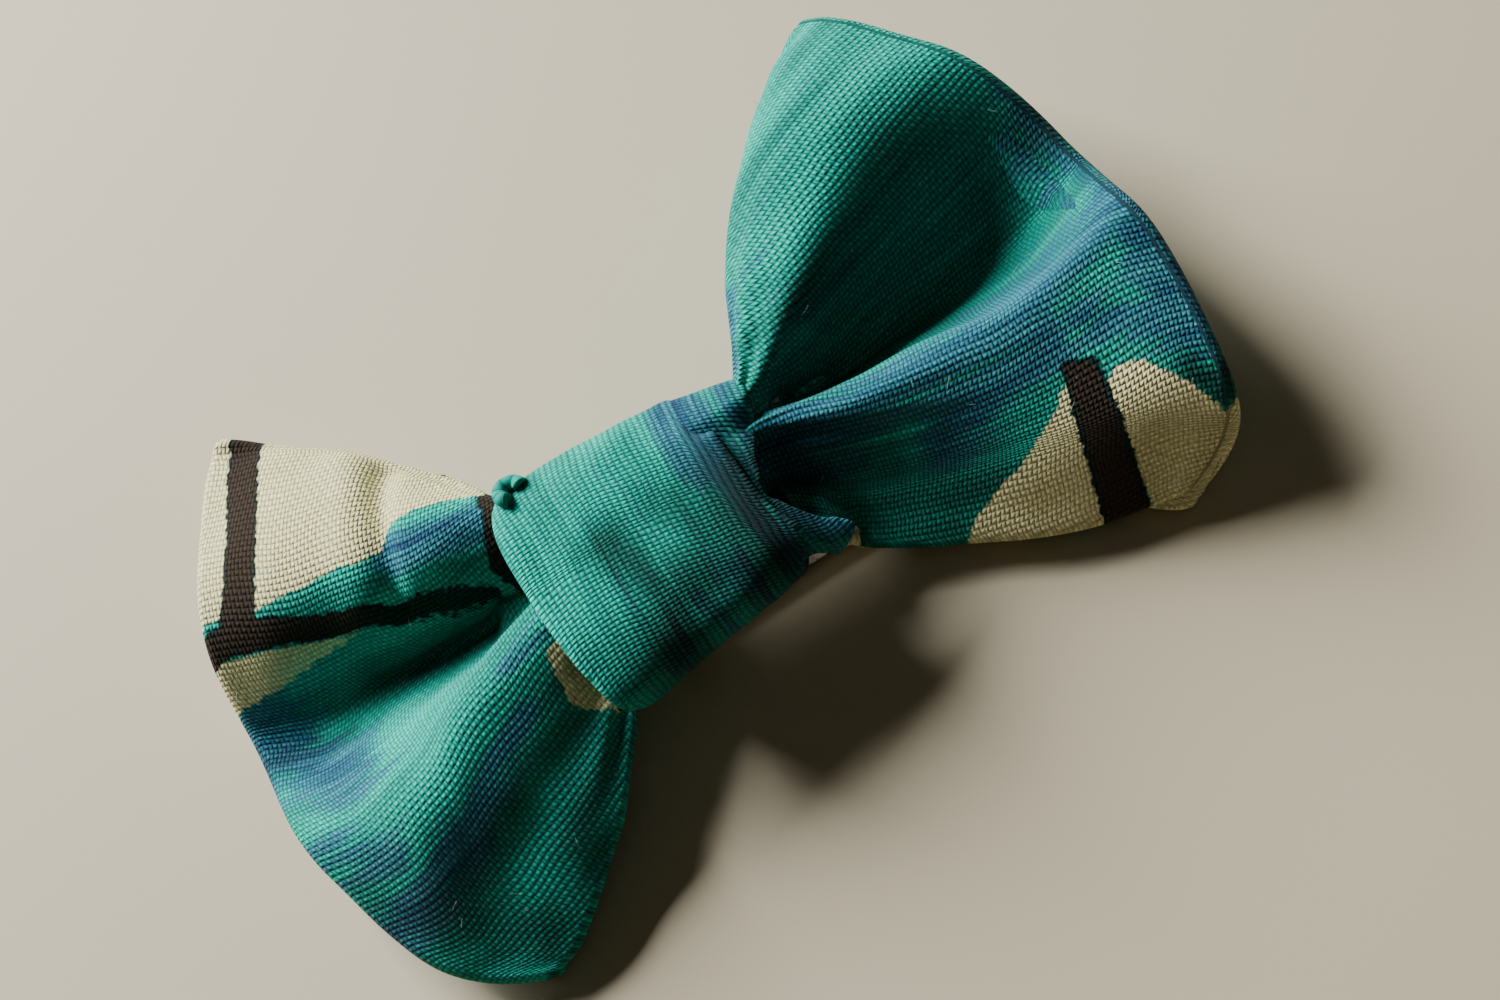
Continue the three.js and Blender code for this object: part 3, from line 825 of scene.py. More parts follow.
@dataclass
class BowCloth:
    """The strip of cloth, its edges turned in, folded into a loop and gathered at the waist."""

    waist_half_mm: float = 8.6
    waist_height_mm: float = 13.2
    edge_mm: tuple[float, float] = (-32.0, 32.0)
    fold_radius_mm: float = 1.2
    rear_shelter_mm: float = 4.0
    scrap_mm: float = 3.4
    rear_tuck_mm: float = 1.1
    rear_at_knot_mm: float = 9.4
    rear_lying_mm: float = 6.9
    clip_cover_mm: tuple[float, float, float] = (-20.0, 17.5, 7.2)
    front_over_clip_mm: float = 8.4
    rear_over_clip_mm: float = 5.4
    thickness_mm: float = 1.3
    front_stations: int = 124
    rear_stations: int = 56
    fold_steps: int = 10
    across: int = 118
    knots: tuple[float, ...] = (0.0, 0.25, 0.4, 0.55, 0.7, 0.85, 1.0)
    strip_flat: tuple[float, float] = (0.064, 0.226)
    lining_flat: tuple[float, float] = (0.048, 0.2)
    grid: dict = field(default_factory=dict)

    def front(self, wing: WingShape, s: np.ndarray, v: np.ndarray) -> np.ndarray:
        """The cloth's outer face on the front of a wing.

        Args:
            wing: the wing.
            s: stations from 0 at the waist to 1 at the folded edge.
            v: places across the strip in millimetres.

        Returns:
            Points in millimetres, stations by places by 3.
        """
        control = []
        for line in wing.lines:
            waist = (0.0, self.waist_half_mm * line.across_mm / self.edge_mm[1], self.waist_height_mm)
            control.append([waist, *((wing.side * x, y, z) for x, y, z in line.points)])
        control = np.array(control)
        reach = np.hypot(control[:, -1, 0], control[:, -1, 1])
        outwards = control[:, -1, :2] / reach[:, None]
        control[:, -1, :2] -= outwards * self.fold_radius_mm
        control[:, -2, :2] -= outwards * self.fold_radius_mm * 0.5
        rim = self.thickness_mm / 2
        for row, up in ((0, 1.0), (-1, -1.0)):
            run = np.gradient(control[row, 1:], axis=0)
            aside = np.stack([-run[:, 1], run[:, 0]], -1)
            control[row, 1:, :2] += wing.side * up * rim * unit(aside)
        along = natural_spline(np.array(self.knots), control.transpose(1, 0, 2), s)
        places = np.array([line.across_mm for line in wing.lines])
        surface = natural_spline(places, along.transpose(1, 0, 2), v).transpose(1, 0, 2)
        return self._over_clip(self._wrinkled(wing, surface, s, v), self.front_over_clip_mm)

    def _over_clip(self, surface: np.ndarray, level_mm: float) -> np.ndarray:
        """Lifts a face to at least a height over the clip, where the lever's tail swings up.

        Args:
            surface: points in millimetres, changed in place.
            level_mm: the least height above the table.

        Returns:
            The lifted face.
        """
        x, y = surface[..., 0], surface[..., 1]
        tail, nose, half = self.clip_cover_mm
        near = smooth((x - tail) / 2.6) * smooth((nose - x) / 3) * smooth((half - np.abs(y)) / 1.4)
        surface[..., 2] += near * np.maximum(level_mm - surface[..., 2], 0)
        return surface

    def _wrinkled(self, wing: WingShape, surface: np.ndarray, s: np.ndarray, v: np.ndarray) -> np.ndarray:
        """Adds the small gathers that run out of the knot and the cloth's general unevenness.

        Args:
            wing: the wing.
            surface: points in millimetres.
            s: stations from the waist to the folded edge.
            v: places across the strip.

        Returns:
            The uneven face.
        """
        grid_s, grid_v = np.meshgrid(s, v, indexing="ij")
        normal = unit(np.cross(np.gradient(surface, axis=0), np.gradient(surface, axis=1))) * wing.side
        fade = smooth((grid_s - 0.18) / 0.06) * (1 - smooth((grid_s - 0.28) / 0.5))
        wander = value_noise(grid_s * 4.0, grid_v / 9.0, wing.seed + 1)
        gathers = 1 - 2 * np.abs(value_noise(grid_v / 3.2 + 0.7 * wander, grid_s * 1.6, wing.seed))
        uneven = value_noise(grid_v / 7.0, grid_s * 9.0, wing.seed + 2)
        small = value_noise(grid_v / 3.0, grid_s * 20.0, wing.seed + 4)
        flutter = value_noise(grid_v / 5.0, grid_s * 2.2 + 9, wing.seed + 3) * smooth((grid_s - 0.55) / 0.45)
        height = 0.5 * fade * gathers + 0.3 * uneven + 0.06 * small + 0.4 * flutter
        away = grid_s - 0.51 - 0.0045 * grid_v
        upper = smooth((grid_v - 6) / 5) * (1 - smooth((grid_v - 26) / 6))
        crest = 0.6 * np.exp(-(((away - 0.085) / 0.05) ** 2))
        height += wing.dent_mm * upper * (crest - np.exp(-((away / 0.035) ** 2)))
        return surface + normal * height[..., None]

    def rear(self, wing: WingShape, s: np.ndarray, v: np.ndarray, front: np.ndarray) -> np.ndarray:
        """The cloth's outer face on the back of a wing, hanging clear behind the front panel.

        Args:
            wing: the wing.
            s: stations from the waist to the folded edge.
            v: places across the strip.
            front: the front face at the same places.

        Returns:
            Points in millimetres, stations by places by 3.
        """
        grid_s = np.repeat(s[:, None], len(v), 1)
        outer = np.repeat(front[-1:, :, 2], len(s), 0)
        out = smooth(grid_s / 0.24)
        lying = self.rear_at_knot_mm * (1 - out) + self.rear_lying_mm * out
        height = lying + (outer - 2 * self.fold_radius_mm - lying) * smooth((grid_s - 0.3) / 0.7)
        height += 0.35 * value_noise(grid_s * 5, np.repeat(v[None, :] / 9, len(s), 0), wing.seed + 5)
        spread = max(1, round(self.rear_shelter_mm / (v[1] - v[0])))
        padded = np.pad(front[..., 2], ((0, 0), (spread, spread)), mode="edge")
        shelter = np.min([padded[:, k : k + len(v)] for k in range(0, 2 * spread + 1, 2)], axis=0)
        apart = smooth((grid_s - 0.86) / 0.12)
        clear = shelter * (1 - apart) + front[..., 2] * apart - (2 * self.thickness_mm + 0.4) * (1 - apart)
        height = np.minimum(height, clear)
        back = front.copy()
        inset = 0.965 + 0.035 * smooth((grid_s - 0.8) / 0.2)
        back[..., 1] *= inset
        grid_v = np.repeat(v[None, :], len(s), 0)
        back[..., 1] += self.rear_tuck_mm * smooth((-24 - grid_v) / 8) * (1 - smooth((grid_s - 0.8) / 0.2))
        if wing.side > 0:
            low = smooth((-8 - grid_v) / 24)
            back[..., 1] -= self.scrap_mm * low * np.exp(-(((grid_s - 0.31) / 0.07) ** 2))
        back[..., 2] = np.maximum(height, 0.35)
        edge = smooth((grid_s - 0.97) / 0.03)
        back[..., 2] = back[..., 2] * (1 - edge) + (outer - 2 * self.fold_radius_mm) * edge
        return self._over_clip(back, self.rear_over_clip_mm)

    def outer_face(self) -> None:
        """Lays the whole loop's outer face and its flat coordinates into self.grid."""
        v = np.linspace(*self.edge_mm, self.across)
        s = np.linspace(0, 1, self.front_stations)
        s_rear = np.linspace(0, 1, self.rear_stations)
        parts = {}
        for wing in (RIGHT_WING, LEFT_WING):
            front = self.front(wing, s, v)
            coarse = self.front(wing, s_rear, v)
            back = self.rear(wing, s_rear, v, coarse)
            outward = unit((front[-1] - front[-4]) * np.array([1.0, 1.0, 0.0]))
            centre = (front[-1] + back[-1]) / 2
            half = (front[-1] - back[-1]) / 2
            arc = []
            for i in range(1, self.fold_steps):
                turn = math.pi * i / self.fold_steps
                arc.append(centre + half * math.cos(turn) + outward * self.fold_radius_mm * math.sin(turn))
            parts[wing.side] = (front, back, np.array(arc))
        (right, right_back, right_arc), (left, left_back, left_arc) = parts[1], parts[-1]
        chain = [right[:0:-1], left, left_arc, left_back[::-1], right_back[1:], right_arc[::-1]]
        lengths = [len(part) for part in chain]
        points = np.concatenate(chain)
        fold = {1: right[-1, :, 0], -1: left[-1, :, 0]}
        laid_x = []
        for number, part in enumerate(chain):
            edge = fold[-1 if number in (1, 2, 3) else 1][None, :]
            laid_x.append(part[..., 0] if number < 2 else 2 * edge - part[..., 0])
        step = np.linalg.norm(np.diff(points, axis=0, append=points[:1]), axis=-1)
        travelled = np.concatenate([np.zeros((1, self.across)), np.cumsum(step, axis=0)[:-1]])
        waist = lengths[0]
        self.grid = {
            "points": points,
            "u": travelled - travelled[waist],
            "v": self._flat_across(points, v, lengths),
            "lengths": lengths,
            "laid_x": np.concatenate(laid_x),
        }

    def _flat_across(self, points: np.ndarray, v: np.ndarray, lengths: list[int]) -> np.ndarray:
        """Millimetres across the flat strip, keeping the thread spacing true on the crests.

        Where a wing is narrower than the flat strip, the missing width is taken to be folded away in
        its hollows.

        Args:
            points: the loop's outer face.
            v: places across the strip.
            lengths: how many rows each stretch of the loop has.

        Returns:
            The place across the flat strip of each point.
        """
        step = np.linalg.norm(np.diff(points, axis=1), axis=-1)
        flat = np.zeros(points.shape[:2])
        sides = np.repeat([1, -1, -1, -1, 1, 1], lengths)
        for wing in (RIGHT_WING, LEFT_WING):
            rows = np.where(sides == wing.side)[0]
            part = step[rows].copy()
            whole = part.max(axis=0)
            middle = (v[1:] + v[:-1]) / 2
            for hollow in wing.hollows_mm:
                weight = np.exp(-(((middle - hollow) / 1.2) ** 2))
                reach = np.abs(middle - hollow) < 8
                missing = (whole - part)[:, reach].sum(axis=1)
                part += missing[:, None] * (weight / weight.sum())[None, :] * 0.9
            run = np.concatenate([np.zeros((len(rows), 1)), np.cumsum(part, axis=1)], axis=1)
            crest = np.argmin(np.abs(v - wing.crest_mm))
            flat[rows] = run - run[:, crest : crest + 1] + wing.crest_mm
        return flat

    def build(self) -> list[Object]:
        """Makes the cloth and the interlining inside it.

        Returns:
            The cloth and the interlining.
        """
        self.outer_face()
        face = self.grid["points"]
        normal = sheet_normals(face, True)
        fields = {"flat_u": self.grid["u"], "flat_v": self.grid["v"], **WingPrintAndPaintedLight().fields(self.grid)}
        cloth = thin_sheet("bow_cloth_turned_strip", face, normal, (0.0, self.thickness_mm), True, fields)
        margin = self.across // 8
        inside = slice(margin, self.across - margin, 3)
        lining = thin_sheet("bow_interlining_strip", face[:, inside], normal[:, inside], (0.5, 0.8), True)
        return [cloth, lining]


# ---------- the print, with painted shade and highlight ---


def inside_distance(x: np.ndarray, y: np.ndarray, outline: tuple[tuple[float, float], ...]) -> np.ndarray:
    """Distance in millimetres to an outline, positive inside it.

    Args:
        x: places along the bow.
        y: places up the bow.
        outline: the corners, in order.

    Returns:
        The signed distance at each place.
    """
    corners = np.array(outline, float)
    nearest = np.full(x.shape, 1e9)
    inside = np.zeros(x.shape, bool)
    for (ax, ay), (bx, by) in zip(corners, np.roll(corners, -1, 0)):
        ex, ey = bx - ax, by - ay
        t = np.clip(((x - ax) * ex + (y - ay) * ey) / (ex * ex + ey * ey), 0, 1)
        nearest = np.minimum(nearest, np.hypot(x - ax - t * ex, y - ay - t * ey))
        crosses = (ay > y) != (by > y)
        height = np.where(crosses, y - ay, 0.0)
        inside ^= crosses & (x < ax + height * ex / (ey if ey else 1.0))
    return np.where(inside, nearest, -nearest)


def soft_blob(x: np.ndarray, y: np.ndarray, a: Place, b: Place, radius: float) -> np.ndarray:
    """A wash that is 1 on the line from a to b and fades out over radius.

    Args:
        x: places along the bow.
        y: places up the bow.
        a: one end of the line.
        b: its other end.
        radius: how far the wash reaches, in millimetres.

    Returns:
        Its strength at each place.
    """
    ex, ey = b[0] - a[0], b[1] - a[1]
    t = np.clip(((x - a[0]) * ex + (y - a[1]) * ey) / max(ex * ex + ey * ey, 1e-9), 0, 1)
    away = np.hypot(x - a[0] - t * ex, y - a[1] - t * ey)
    return 1 - smooth(away / radius)


def washed(x: np.ndarray, y: np.ndarray, washes: tuple[Wash, ...]) -> np.ndarray:
    """The strongest of several washes, each given as two ends, a radius and a strength.

    Args:
        x: places along the bow.
        y: places up the bow.
        washes: the washes.

    Returns:
        The strength at each place.
    """
    total = np.zeros(x.shape)
    for ax, ay, bx, by, radius, strength in washes:
        total = np.maximum(total, strength * soft_blob(x, y, (ax, ay), (bx, by), radius))
    return total


@dataclass(frozen=True)
class WingPrintAndPaintedLight:
    """An abstract brush-stroke print: where each colour lies along and up the bow, in millimetres.

    Beyond the folded edges the places go on round to the back of the wing. The dark washes are mostly
    painted shade and some pale washes are painted highlight.
    """

    cream: tuple[Outline, ...] = (
        ((40.6, -8.6), (38, -10.4), (33, -11.8), (27, -12.4), (23, -14), (20, -24), (38, -34), (41, -20)),
        ((43.2, -11.2), (45, -10.4), (47.2, -11), (50, -15.4), (51.6, -19.6), (60, -21), (66, -34),
         (38, -34)),
        ((70, 8), (78, 14), (92, 16), (98, 30), (76, 36), (66, 20)),
        ((62, -3), (84, -4), (90, -22), (58, -22)),
        (
            (-90, 30), (-60, 52), (-10, 50), (-10.5, 17), (-13.2, 14.4), (-16.2, 15.9), (-20.2, 16.9),
            (-22.9, 16.9),
            (-24.6, 14.9), (-27, 15), (-29.5, 15.9), (-32.9, 16.5), (-38.9, 17.6), (-44, 20), (-60, 24),
            (-80, 19),
        ),
        (
            (-45.6, 16.4), (-40.7, 14.4), (-34.2, 12), (-29.4, 10.5), (-33, 11), (-36.5, 11.6), (-41.4, 11.6),
            (-46.2, 12.4), (-54, 11), (-62, 16),
        ),
        ((-15.2, -3.6), (-13, -2.8), (-9, -4), (-8, -12), (-12.4, -10.8), (-15.8, -8.8)),
        ((-70, -8), (-84, -4), (-96, -14), (-80, -22)),
    )
    bars: tuple[Outline, ...] = (
        ((41.2, -7.6), (43.5, -8.8), (42.6, -14), (40.6, -20), (39.8, -34), (35.6, -34), (36.2, -21),
         (38.6, -15)),
        (
            (-31.4, 43), (-28, 43), (-31.6, 35), (-33.1, 31), (-35.6, 24.3), (-38.5, 18.6), (-40, 16.8),
            (-43.6, 17.7),
            (-40.6, 21.5), (-38.2, 26.4), (-35.8, 33.3), (-34.1, 36.7),
        ),
        (
            (-62, 20), (-47.4, 18.6), (-43.4, 18.8), (-39.6, 17), (-35, 14.2), (-30.9, 12.2), (-25.1, 9.8),
            (-19.5, 7.8),
            (-17.1, 6.8), (-17.1, 6.5), (-22.8, 8.2), (-27.8, 9.9), (-33.5, 12), (-38.8, 14.1),
            (-44.5, 16.4), (-62, 17.6),
        ),
        ((-13.6, 15), (-9, 14), (-9, 7), (-15, 5.4), (-16, 7.6), (-13.6, 12)),
        ((-12.9, -5.8), (-9, -5), (-8, -12), (-12.2, -10.4)),
        ((74, 6), (77, 6.6), (80, 40), (77, 40)),
        ((-76, -2), (-79, -2), (-82, -30), (-79, -30)),
    )
    blue: tuple[Wash, ...] = (
        (14, 2, 40, -2, 7, 0.85), (28, -6, 41, -5, 5.5, 0.95), (36, 0, 54, 3, 7.5, 0.85),
        (52, 20, 54.6, 6, 4.6, 0.8), (54.6, 5, 53, -12, 6.5, 0.95), (45, -5, 51, -9, 4.6, 0.9),
        (14, 10.6, 17.5, 17.6, 2.2, 0.8), (53, -12, 64, -8, 6, 0.8), (70, -4, 92, -6, 6, 0.7),
        (-23.4, 14, -13, 11.4, 4, 1.1), (-46, 8.6, -39, -0.5, 7.5, 1.0), (-44, -7, -38, -12, 4.5, 0.7),
        (-43, -17.6, -31, -14.4, 4.6, 0.95), (-31, -14.4, -20, -7.4, 3.2, 0.8),
        (-14, -1.6, -19, -3, 2.2, 0.6),
        (-60, -12, -72, -4, 6, 0.8), (-84, 8, -96, 4, 6, 0.8),
    )
    # Dark washes: mostly painted shade in the hollows, on the shaded flank of the right wing's upper lobe and
    # beside the knot, partly dark print.
    deep: tuple[Wash, ...] = (
        (24, 11, 52, 16, 6.5, 0.6), (14, -4, 30, -11, 5, 0.6), (-16, -11, -22, -20, 5, 0.5),
        (-30, -24, -38, -18, 5, 0.6),
        (50.6, -14.6, 52.4, -17.6, 3, 0.9), (14, 0, 22, -5, 4.2, 0.6), (18, 8, 44, 12, 4.6, 0.55),
        (15, -9.4, 24, -12.4, 3, 0.5), (-18, 4, -33, 7.6, 4.4, 0.6), (-38, 4.6, -46, 6.6, 2.6, 0.5),
        (-35, -19, -26, -14, 3.4, 0.5), (-44, -12, -38, -20, 3, 0.5),
    )
    # Pale washes: partly painted highlight on the lit flank of the right wing's upper lobe and along its
    # ridge's crest, partly pale print.
    light: tuple[Wash, ...] = (
        (24, 17, 44, 33, 3.6, 0.55), (-44.5, -4, -42, -8, 3, 0.7), (22, 3.4, 40, -0.6, 1.8, 0.6),
        (-24, -13, -33, -22, 3.6, 0.35), (-28, 15, -38, 16.8, 1.2, 0.4),
    )

    def fields(self, grid: dict[str, np.ndarray]) -> dict[str, np.ndarray]:
        """Works out the colour fields at each place on the strip.

        Args:
            grid: the strip's places and points.

        Returns:
            The signed distances to the cream and the bars, in mm, and the strength of each wash.
        """
        x, y = grid["laid_x"], grid["points"][..., 1]
        bar = np.max([inside_distance(x, y, shape) for shape in self.bars], axis=0)
        return {
            "cream": np.max([inside_distance(x, y, shape) for shape in self.cream], axis=0),
            "bar": bar,
            "edge_line": np.where(x > 0, bar + 0.55, bar + 0.3),
            "blue": washed(x, y, self.blue),
            "deep": washed(x, y, self.deep),
            "light": washed(x, y, self.light),
        }


# ---------- the knot ----------


def around_ring(degrees: np.ndarray, values: tuple[tuple[float, float], ...]) -> np.ndarray:
    """Smoothly interpolates values given at angles round a ring.

    Args:
        degrees: angles to evaluate.
        values: pairs of angle and value, from 0 to under 360.

    Returns:
        The value at each angle.
    """
    angles = np.array([a for a, _ in values], float)
    amounts = np.array([b for _, b in values], float)
    angles = np.concatenate([angles - 360, angles, angles + 360])
    flat = natural_spline(angles, np.tile(amounts, 3)[:, None], np.asarray(degrees, float).ravel() % 360)
    return flat.reshape(np.shape(degrees))


@dataclass
class KnotBand:
    """A folded band of the same cloth wrapped round the waist.

    Its outer ply ends in a crease on the right, with the ply under it showing beyond, and its left hem
    stands up in a small curl at the upper corner. Angles run from the bow's upper side over the front.
    """

    centre_y_mm: float = 0.4
    centre_z_mm: float = 11.3
    half_z_mm: float = 5.2
    half_left_mm: float = 13.3
    half_right_mm: float = 10.2
    bulge_mm: float = 1.3
    squareness: float = 2.6
    ply_mm: float = 0.95
    crease_x_mm: float = 8.2
    crease_y_mm: float = 4.8
    around: int = 280
    wide: int = 70
    band_flat: tuple[float, float] = (0.024, 0.068)
    lining_flat: tuple[float, float] = (0.011, 0.054)
    left: tuple[tuple[float, float], ...] = (
        (0, -11.2), (30, -12.4), (60, -13.5), (90, -13.3), (120, -12.5), (150, -11.6), (178, -10.6),
        (200, -9), (235, -9.6),
        (270, -10.4), (315, -11),
    )
    crease: tuple[tuple[float, float], ...] = (
        (0, 9.6), (30, 9.6), (60, 9.3), (90, 9.8), (110, 10.4), (130, 11.4), (150, 11.6), (165, 10.6),
        (180, 9.8),
        (225, 10.5), (270, 11.2), (315, 10.2),
    )
    under_edge: tuple[tuple[float, float], ...] = (
        (0, 14.1), (30, 14.2), (60, 13.7), (78, 12.6), (92, 11.2), (104, 10.5), (113, 11.7), (124, 13.8),
        (136, 15.2),
        (150, 16.0), (164, 15.6), (180, 13.8), (200, 12.2), (240, 11.6), (270, 12), (315, 13.4),
    )

    blue: tuple[Wash, ...] = (
        (7.4, 15, 8, 3.5, 5.2, 1.15), (9.5, 1, 10, -9, 4.2, 0.8), (12.6, 13, 13, 2, 3, 0.8),
        (12, -6, 17, -9, 4, 0.8), (5.4, -7.4, 5.6, -10.4, 2.6, 0.8), (0.4, -8.3, 1.6, -11, 2.4, 0.7),
        (-3, -10.6, -5, -12, 2, 0.5),
    )
    # Dark washes: mostly painted shade on the knot's lower side and right end, which face away from the lamp.
    deep: tuple[Wash, ...] = (
        (-4.2, 1.2, -2.2, -5, 5.4, 0.85), (10, 0, 8, -9, 9, 0.9), (0, -6, -4, -12, 9, 0.8),
        (3, 1, 6, -5, 7, 0.65),
    )
    # Pale washes: partly painted highlight on the knot's upper left, which faces the lamp.
    light: tuple[Wash, ...] = (
        (-9, 10, 1, 12, 3.6, 0.4), (1.6, 1, 3.4, 4, 1.6, 0.5), (-11, 9, -10.6, 0, 2.6, 0.3),
    )
    curl_mm: Point = (-10.1, 12.4, 13.1)
    curl_half_mm: float = 1.7
    curl_radius_mm: float = 0.34
    curl_wall_mm: float = 1.5

    def face(self, x: np.ndarray, turn: np.ndarray, out: np.ndarray | float = 0.0) -> np.ndarray:
        """Points on a ring round the waist.

        Args:
            x: millimetres along the bow.
            turn: the angle in radians.
            out: millimetres outside the outer ply's face.

        Returns:
            Points in millimetres.
        """
        share = np.clip((x + 12) / 26, -0.2, 1.2)
        c, s = np.cos(turn), np.sin(turn)
        half_y = self.half_left_mm + (self.half_right_mm - self.half_left_mm) * share
        half_y = half_y + self.bulge_mm * (1 - (2 * share - 1) ** 2) * (0.5 + 0.5 * c) + out
        half_z = self.half_z_mm - 0.5 * (2 * share - 1) ** 2 + out
        power = 2 / self.squareness
        y = self.centre_y_mm + half_y * np.sign(c) * np.abs(c) ** power
        z = self.centre_z_mm + half_z * np.sign(s) * np.abs(s) ** power
        return np.stack([x, y, z], -1)

    @staticmethod
    def _ring(around: int, over: np.ndarray) -> list[np.ndarray]:
        """Angles once round the waist from its underside, by the places given in over.

        Args:
            around: how many angles.
            over: what the other axis runs through.

        Returns:
            Both grids.
        """
        turn = -math.pi / 2 + np.linspace(0, 2 * math.pi, around, endpoint=False)
        return np.meshgrid(turn, over, indexing="ij")

    def _print_and_painted_light(self, face: np.ndarray) -> dict[str, np.ndarray]:
        """The knot's colours: bright teal at the upper left, partly painted highlight, a violet-blue stripe,
        then dark green, mostly painted shade at the lower right.

        Args:
            face: the ply's face in millimetres.

        Returns:
            The vertex fields that the printed cotton reads.
        """
        x, y = face[..., 0], face[..., 1]
        step = np.linalg.norm(np.diff(face, axis=0, append=face[-1:]), axis=-1)
        none = np.full(x.shape, -9.0)
        return {
            "flat_u": np.cumsum(step, axis=0),
            "flat_v": x,
            "cream": none,
            "bar": none,
            "edge_line": none,
            "blue": washed(x, y, self.blue),
            "deep": washed(x, y, self.deep),
            "light": washed(x, y, self.light),
        }

    def outer_ply(self) -> Object:
        """The outer ply, sinking into the one under it above where its crease starts.

        Returns:
            The ply.
        """
        turn, share = self._ring(self.around, np.linspace(1, 0, self.wide))
        degrees = np.degrees(turn)
        low, high = around_ring(degrees, self.left), around_ring(degrees, self.crease)
        x = low + (high - low) * share
        base = self.face(x, turn)
        upper = smooth((base[..., 1] - self.crease_y_mm) / 2.6)
        sunk = 1.3 * upper * smooth((x - self.crease_x_mm + 1.3) / 2.2)
        sunk += 0.25 * smooth((x - 3) / 7) * (1 - upper)
        lifted = 0.35 * smooth((0.12 - share) / 0.12) * smooth(np.sin(turn))
        uneven = 0.2 * value_noise(x / 4 + 7, degrees / 22, 41)
        uneven += 0.1 * value_noise(x / 2.2, degrees / 50 + 3, 43)
        face = self.face(x, turn, lifted + uneven - sunk)
        return thin_sheet(
            "knot_band_cloth", face, sheet_normals(face, True), (0.0, self.ply_mm), True, self._print_and_painted_light(face)
        )

    def under_ply(self) -> Object:
        """The ply that shows to the right of the crease and ends low down in a leaf-shaped corner.

        Returns:
            The ply.
        """
        turn, share = self._ring(self.around, np.linspace(1, 0, self.wide // 2))
        degrees = np.degrees(turn)
        high = around_ring(degrees, self.under_edge)
        x = 3 + (high - 3) * share
        base = self.face(x, turn)
        upper = smooth((base[..., 1] - self.crease_y_mm) / 2.6)
        flush = upper * smooth((x - self.crease_x_mm + 2.8) / 1.6)
        front = smooth((np.sin(turn) + 0.7) / 0.6)
        out = -1.35 + 1.2 * flush * front + 0.12 * value_noise(x / 2.5, degrees / 24, 47)
        face = self.face(x, turn, out)
        leaf = smooth((x - 11) / 3.5) * (1 - flush)
        face[..., 2] -= 1.5 * leaf
        face[..., 1] -= 1.5 * leaf * smooth(-base[..., 1] / 5)
        return thin_sheet(
            "knot_under_ply", face, sheet_normals(face, True), (0.0, 0.8), True, self._print_and_painted_light(face)
        )

    def curl(self) -> Object:
        """The small curl of hem that stands up at the band's upper left corner.

        Returns:
            The curl.
        """
        turns = np.linspace(math.radians(240), math.radians(-10), 34)
        turn, drop = np.meshgrid(turns, np.linspace(1.0, -1.0, 12), indexing="ij")
        at_x, at_y, at_z = self.curl_mm
        radius = self.curl_radius_mm - 0.05 * drop
        x = at_x + 1.3 * radius * np.cos(turn) - 0.3 * drop
        y = at_y + 1.1 * radius * np.sin(turn)
        z = at_z + self.curl_half_mm * drop - 0.5 * np.sin(turn) - 0.4 * np.cos(turn)
        face = np.stack([x, y, z], -1)
        fields = self._print_and_painted_light(face)
        fields["flat_v"] = 1.9 * drop
        depths = (0.0, self.curl_wall_mm)
        return thin_sheet("knot_hem_curl", face, sheet_normals(face, False), depths, False, fields)

    def lining(self) -> Object:
        """The interlining inside the band.

        Returns:
            The interlining.
        """
        turn, x = self._ring(self.around // 2, np.linspace(6.6, -4.4, 14))
        face = self.face(x, turn, -1.6)
        return thin_sheet("knot_interlining_band", face, sheet_normals(face, True), (0.0, 0.3), True)

    def build(self) -> list[Object]:
        """Makes the band's plies and its curl."""
        return [self.outer_ply(), self.under_ply(), self.curl()]


# ---------- sewing, loose fibres and the clip ----------


@dataclass
class Sewing:
    """The hand sewing in doubled, twisted thread: the band's closing stitches and the clip's two tacks."""

    ply_mm: float = 0.1
    pitch_mm: float = 1.1
    stitches: int = 12
    stitch_from_mm: Point = (-8.7, 9.35, 6.4)
    stitch_run_mm: float = 21
    stitch_reach_mm: tuple[float, float] = (1.05, 0.26)
    tack_holes_mm: tuple[float, float] = (9.5, -12.2)
    tack_loops: int = 3
    tack_ply_mm: float = 0.09
    tack_z_mm: float = 4.85
    tack_reach_mm: tuple[float, float] = (1.55, 0.78)

    def closing_stitch(self) -> Object:
        """Whip stitches along the back of the knot, where the band's end is closed.

        Returns:
            The stitches.
        """
        t = np.linspace(0, 1, 60 * self.stitches)
        turn = 2 * math.pi * self.stitches * t
        at_x, at_y, at_z = self.stitch_from_mm
        over, deep = self.stitch_reach_mm
        x = at_x + self.stitch_run_mm * t + 0.25 * np.sin(2 * turn)
        path = np.stack([x, at_y + over * np.cos(turn), at_z + deep * np.sin(turn)], -1)
        return tubes("knot_closing_whip_stitch", twisted(path, self.ply_mm, self.pitch_mm), self.ply_mm)

    def tack(self, name: str, hole_x_mm: float) -> Object:
        """Three loops of thread through a pair of holes in the clip.

        Args:
            name: the piece's name.
            hole_x_mm: where the holes are along the bow.

        Returns:
            The tack.
        """
        t = np.linspace(0, 1, 260)
        turn = 2 * math.pi * self.tack_loops * t
        wide, high = self.tack_reach_mm
        y = wide * np.sign(np.cos(turn)) * np.abs(np.cos(turn)) ** 0.6
        z = self.tack_z_mm + high * np.sign(np.sin(turn)) * np.abs(np.sin(turn)) ** 0.6
        path = np.stack([hole_x_mm + 0.25 * (2 * t - 1), y, z], -1)
        return tubes(name, twisted(path, self.tack_ply_mm, self.pitch_mm), self.tack_ply_mm)


